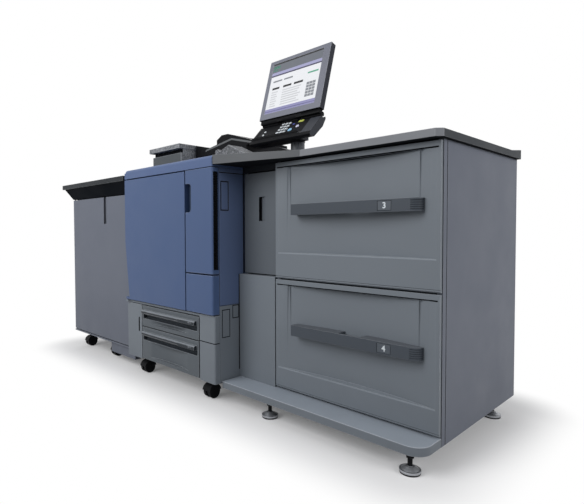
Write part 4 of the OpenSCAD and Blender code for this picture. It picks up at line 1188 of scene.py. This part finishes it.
def frame_at_tilt(node, offset, turn):
    """A frame turned about X, in the middle of a node and at an offset from the tilt's axis."""
    low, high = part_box(node)
    tilt = HINGE_AT["monitor_tilt"]
    start = ((low.x + high.x) / 2, tilt.y + offset[0], tilt.z + offset[1])
    return Matrix.Translation(start) @ Matrix.Rotation(turn, 4, "X")


def key_frame(panel):
    """Frame of the key face: X right, Y up the slope, Z out of it, from its upper edge."""
    return frame_at_tilt("key_housing", KEY_FACE_FROM_TILT, panel.slope)


def monitor_frame(panel):
    """Frame of the monitor: X right, Y to its back, Z up its slope, from its lower edge."""
    return frame_at_tilt("monitor", MONITOR_FROM_TILT, -panel.lean)


class PRINTER_OT_keys(PrinterOperator, Operator):
    """Round the keys, give each its colour, and put figures on the number keys"""

    bl_idname = "printer.keys"
    bl_label = "Panel keys"

    # each coloured key's finish, its middle across and down the face, and how far it reaches
    # from there, in millimetres
    coloured = (("start_key", 38, 70, 10.8), ("stop_key", 69, 52, 10.8),
                ("clear_key", 37, 30, 10.8), ("power_key", 71, 17, 14.5))
    reach_up = 10.5 * MM
    first, pitch = (-31, 15), (19, 20)  # the number keys, in millimetres
    columns = 3
    figures = ("1", "2", "3", "4", "5", "6", "7", "8", "9", "*", "0", "#")
    figure_size, figure_depth = 7 * MM, 0.1 * MM

    def execute(self, context):
        panel = context.scene.printer_panel
        place = key_frame(panel)
        back = place.inverted()

        def key_test(u, v, reach):
            middle = Vector((u * MM, -v * MM, 0))

            def on_key(centre, normal):
                away = (back @ centre) - middle
                return away.length < reach * MM and abs(away.y) < self.reach_up

            return on_key

        add_eased("panel_keys", panel.key_edge, "key_plastic", *(key[0] for key in self.coloured),
                  paint=[key_test(*key[1:]) for key in self.coloured])
        for i, figure in enumerate(self.figures):
            row, column = divmod(i, self.columns)
            at = Vector(((self.first[0] + column * self.pitch[0]) * MM,
                         -(self.first[1] + row * self.pitch[1]) * MM, panel.key_height))
            add_text(f"key_figure_{i + 1}", figure, self.figure_size, self.figure_depth,
                     place @ Matrix.Translation(at), "panel_head", "black_plastic")
        return {"FINISHED"}


class PRINTER_OT_stacker(PrinterOperator, Operator):
    """Round the stacker's cabinet, door, cornice and top"""

    bl_idname = "printer.stacker"
    bl_label = "Stacker"

    slot_in, slot_side = Span(1, 13), 20 * MM  # the door's slot, in from its front and its sides; it is painted darker as shade

    def execute(self, context):
        add_grooved("stacker_body", 1, self.edges.sheet, "grey_panel")
        low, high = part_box("stacker_door")

        def slot(point, normal=None):
            sunk = self.slot_in.holds(point.y - low.y)
            return sunk and low.x + self.slot_side < point.x < high.x - self.slot_side

        add_eased("stacker_door", self.edges.sheet, "grey_panel", "slot_grey", keep=slot,
                  paint=[slot])
        add_eased("stacker_cornice", self.edges.table, "cornice_black")
        add_eased("stacker_surface", self.edges.table, "stacker_top")
        return {"FINISHED"}


class PRINTER_OT_feet(PrinterOperator, Operator):
    """Round the levelling feet and the casters"""

    bl_idname = "printer.feet"
    bl_label = "Feet and casters"

    radius, disc_top = 1.5 * MM, 25 * MM  # rounding, and the upper side of the feet's discs

    def execute(self, context):
        for node in ("foot_pads", "engine_casters", "stacker_casters"):
            add_eased(node, self.radius)
        # studs and lock nuts are blackened above the bright discs
        add_eased("levelling_feet", self.radius, "zinc", "black_plastic",
                  paint=[lambda centre, normal: centre.z > self.disc_top])
        return {"FINISHED"}


class PRINTER_OT_inner_parts(PrinterOperator, Operator):
    """Give every CAD node that still shows its procedural finish"""

    bl_idname = "printer.inner_parts"
    bl_label = "Inner parts"

    def execute(self, context):
        for node, piece in frame["nodes"].items():
            if not piece.hide_render:
                piece.data.materials.clear()
                piece.data.materials.append(finish(SLOT_OF[node]))
        return {"FINISHED"}


class PRINTER_OT_stage(PrinterOperator, Operator):
    """Lay the pale floor, hang the soft lights and set the camera"""

    bl_idname = "printer.stage"
    bl_label = "Stage"

    # each lamp's name, its power's setting, its width, and its place from the object's middle
    lamps = (("Front light", "front", 3.2, (-0.6, -3.5, 2.0)),
             ("Side light", "side", 2.6, (5.3, -0.1, 1.7)),
             ("Back light", "back", 3.0, (-3.2, 3.6, 1.4)))
    camera_place, camera_shift = (1.9337, -1.8294, 0.7904), (0.085, -0.0118)
    camera_turn, camera_tilt, camera_roll = 46.76, -1.873, -0.283  # in degrees
    half_floor = 60
    # the floor starts to pale at this distance from a box this much smaller than the object's
    shadow_start, shadow_inset = 0.08, 0.1

    def execute(self, context):
        self.setup = context.scene.printer_stage
        self.add_floor()
        self.add_sky(context.scene)
        for name, power, size, offset in self.lamps:
            self.add_light(name, getattr(self.setup, power), size, Vector(offset))
        self.add_camera(context.scene)
        context.scene.view_settings.view_transform = "Standard"
        return {"FINISHED"}

    def seen(self, wire):
        """1 where a camera, mirror or glass ray looks, and 0 for light that only bounces."""
        path = wire.add("LightPath").outputs
        either = wire.math("MAXIMUM", path["Is Camera Ray"], path["Is Glossy Ray"])
        return wire.math("MAXIMUM", either, path["Is Transmission Ray"])

    def add_floor(self):
        shape = bmesh.new()
        bmesh.ops.create_grid(shape, x_segments=4, y_segments=4, size=self.half_floor)
        data = bpy.data.meshes.new("Floor")
        shape.to_mesh(data)
        shape.free()
        made, wire, shader = new_material("Pale floor")
        bounce = self.setup.floor_bounce
        seen = self.seen(wire)
        # away from the object the floor turns into the plain white of the backdrop
        place = wire.add("TexCoord").outputs["Object"]
        aside = wire.add("VectorMath", {0: place}, operation="ABSOLUTE").outputs[0]
        half = (CAD_BOX[1].x - self.shadow_inset, CAD_BOX[1].y - self.shadow_inset, 1.0)
        beyond = wire.add("VectorMath", {0: aside, 1: half}, operation="SUBTRACT").outputs[0]
        outside = wire.add("VectorMath", {0: beyond, 1: (0, 0, 0)}, operation="MAXIMUM").outputs[0]
        away = wire.add("VectorMath", {0: outside}, operation="LENGTH").outputs["Value"]
        white = wire.add("MapRange", {0: away, 1: self.shadow_start, 2: self.setup.shadow_reach},
                         interpolation_type="SMOOTHSTEP").outputs[0]
        near = wire.mix(seen, (bounce, bounce, bounce, 1), (0.78, 0.78, 0.79, 1))
        hidden = wire.math("MULTIPLY", white, seen)
        wire.feed(shader["Base Color"], wire.mix(hidden, near, (0, 0, 0, 1)))
        wire.feed(shader["Emission Color"], (1, 1, 1, 1))
        glow = wire.spread(white, 0.0, 1.0, self.setup.floor_glow, 1.0)
        wire.feed(shader["Emission Strength"], wire.math("MULTIPLY", seen, glow))
        shader["Roughness"].default_value = 1.0
        shader["Specular IOR Level"].default_value = 0.0
        data.materials.append(made)
        floor = bpy.data.objects.new("Floor", data)
        bpy.context.scene.collection.objects.link(floor)

    def add_sky(self, scene):
        scene.world = bpy.data.worlds.new("Sky")
        scene.world.use_nodes = True
        wire = Wiring(scene.world.node_tree)
        background = scene.world.node_tree.nodes["Background"].inputs
        wire.feed(background["Color"], (1, 1, 1, 1))
        seen = self.seen(wire)
        wire.feed(background["Strength"], wire.spread(seen, 0.0, 1.0, self.setup.sky, 1.0))

    def add_light(self, name, power, size, offset):
        data = bpy.data.lights.new(name, "AREA")
        data.energy = power
        data.shape = "DISK"
        data.size = size
        lamp = bpy.data.objects.new(name, data)
        bpy.context.scene.collection.objects.link(lamp)
        lamp.location = (CAD_BOX[0] + CAD_BOX[1]) / 2 + offset
        lamp.rotation_euler = (-offset).to_track_quat("-Z", "Y").to_euler()

    def add_camera(self, scene):
        data = bpy.data.cameras.new("Camera")
        data.lens = self.setup.lens
        data.sensor_width = 36
        data.shift_x, data.shift_y = self.camera_shift
        camera = bpy.data.objects.new("Camera", data)
        scene.collection.objects.link(camera)
        turns = ((self.camera_turn, "Z"), (90 + self.camera_tilt, "X"), (self.camera_roll, "Z"))
        place = Matrix.Translation(self.camera_place)
        for degrees, axis in turns:
            place = place @ Matrix.Rotation(math.radians(degrees), 4, axis)
        camera.matrix_world = place
        scene.camera = camera


OPERATORS = (PRINTER_OT_cabinet, PRINTER_OT_tables, PRINTER_OT_drawers, PRINTER_OT_relay,
             PRINTER_OT_engine, PRINTER_OT_cassettes, PRINTER_OT_devices,
             PRINTER_OT_control_panel, PRINTER_OT_keys, PRINTER_OT_stacker, PRINTER_OT_feet,
             PRINTER_OT_inner_parts, PRINTER_OT_stage)
SETTINGS = {"printer_colours": PrinterColours, "printer_edges": PrinterEdges,
            "printer_panel": PrinterPanel, "printer_stage": PrinterStage}


class PRINTER_PT_sidebar(Panel):
    """Sidebar panel with a button for each part of the printer line"""

    bl_idname = "PRINTER_PT_sidebar"
    bl_label = "Printer Line"
    bl_space_type = "VIEW_3D"
    bl_region_type = "UI"
    bl_category = "Printer Line"

    def draw(self, context):
        for operator in OPERATORS:
            self.layout.operator(operator.bl_idname)
        for name, group in SETTINGS.items():
            box = self.layout.box()
            for key in group.__annotations__:
                box.prop(getattr(context.scene, name), key)


def register():
    for name, group in SETTINGS.items():
        bpy.utils.register_class(group)
        setattr(bpy.types.Scene, name, PointerProperty(type=group))
    for shown in (*OPERATORS, PRINTER_PT_sidebar):
        bpy.utils.register_class(shown)


def unregister():
    for shown in (PRINTER_PT_sidebar, *reversed(OPERATORS)):
        bpy.utils.unregister_class(shown)
    for name, group in SETTINGS.items():
        delattr(bpy.types.Scene, name)
        bpy.utils.unregister_class(group)


def main():
    register()
    for operator in OPERATORS:
        group, name = operator.bl_idname.split(".")
        getattr(getattr(bpy.ops, group), name)()


if __name__ == "__main__":
    main()
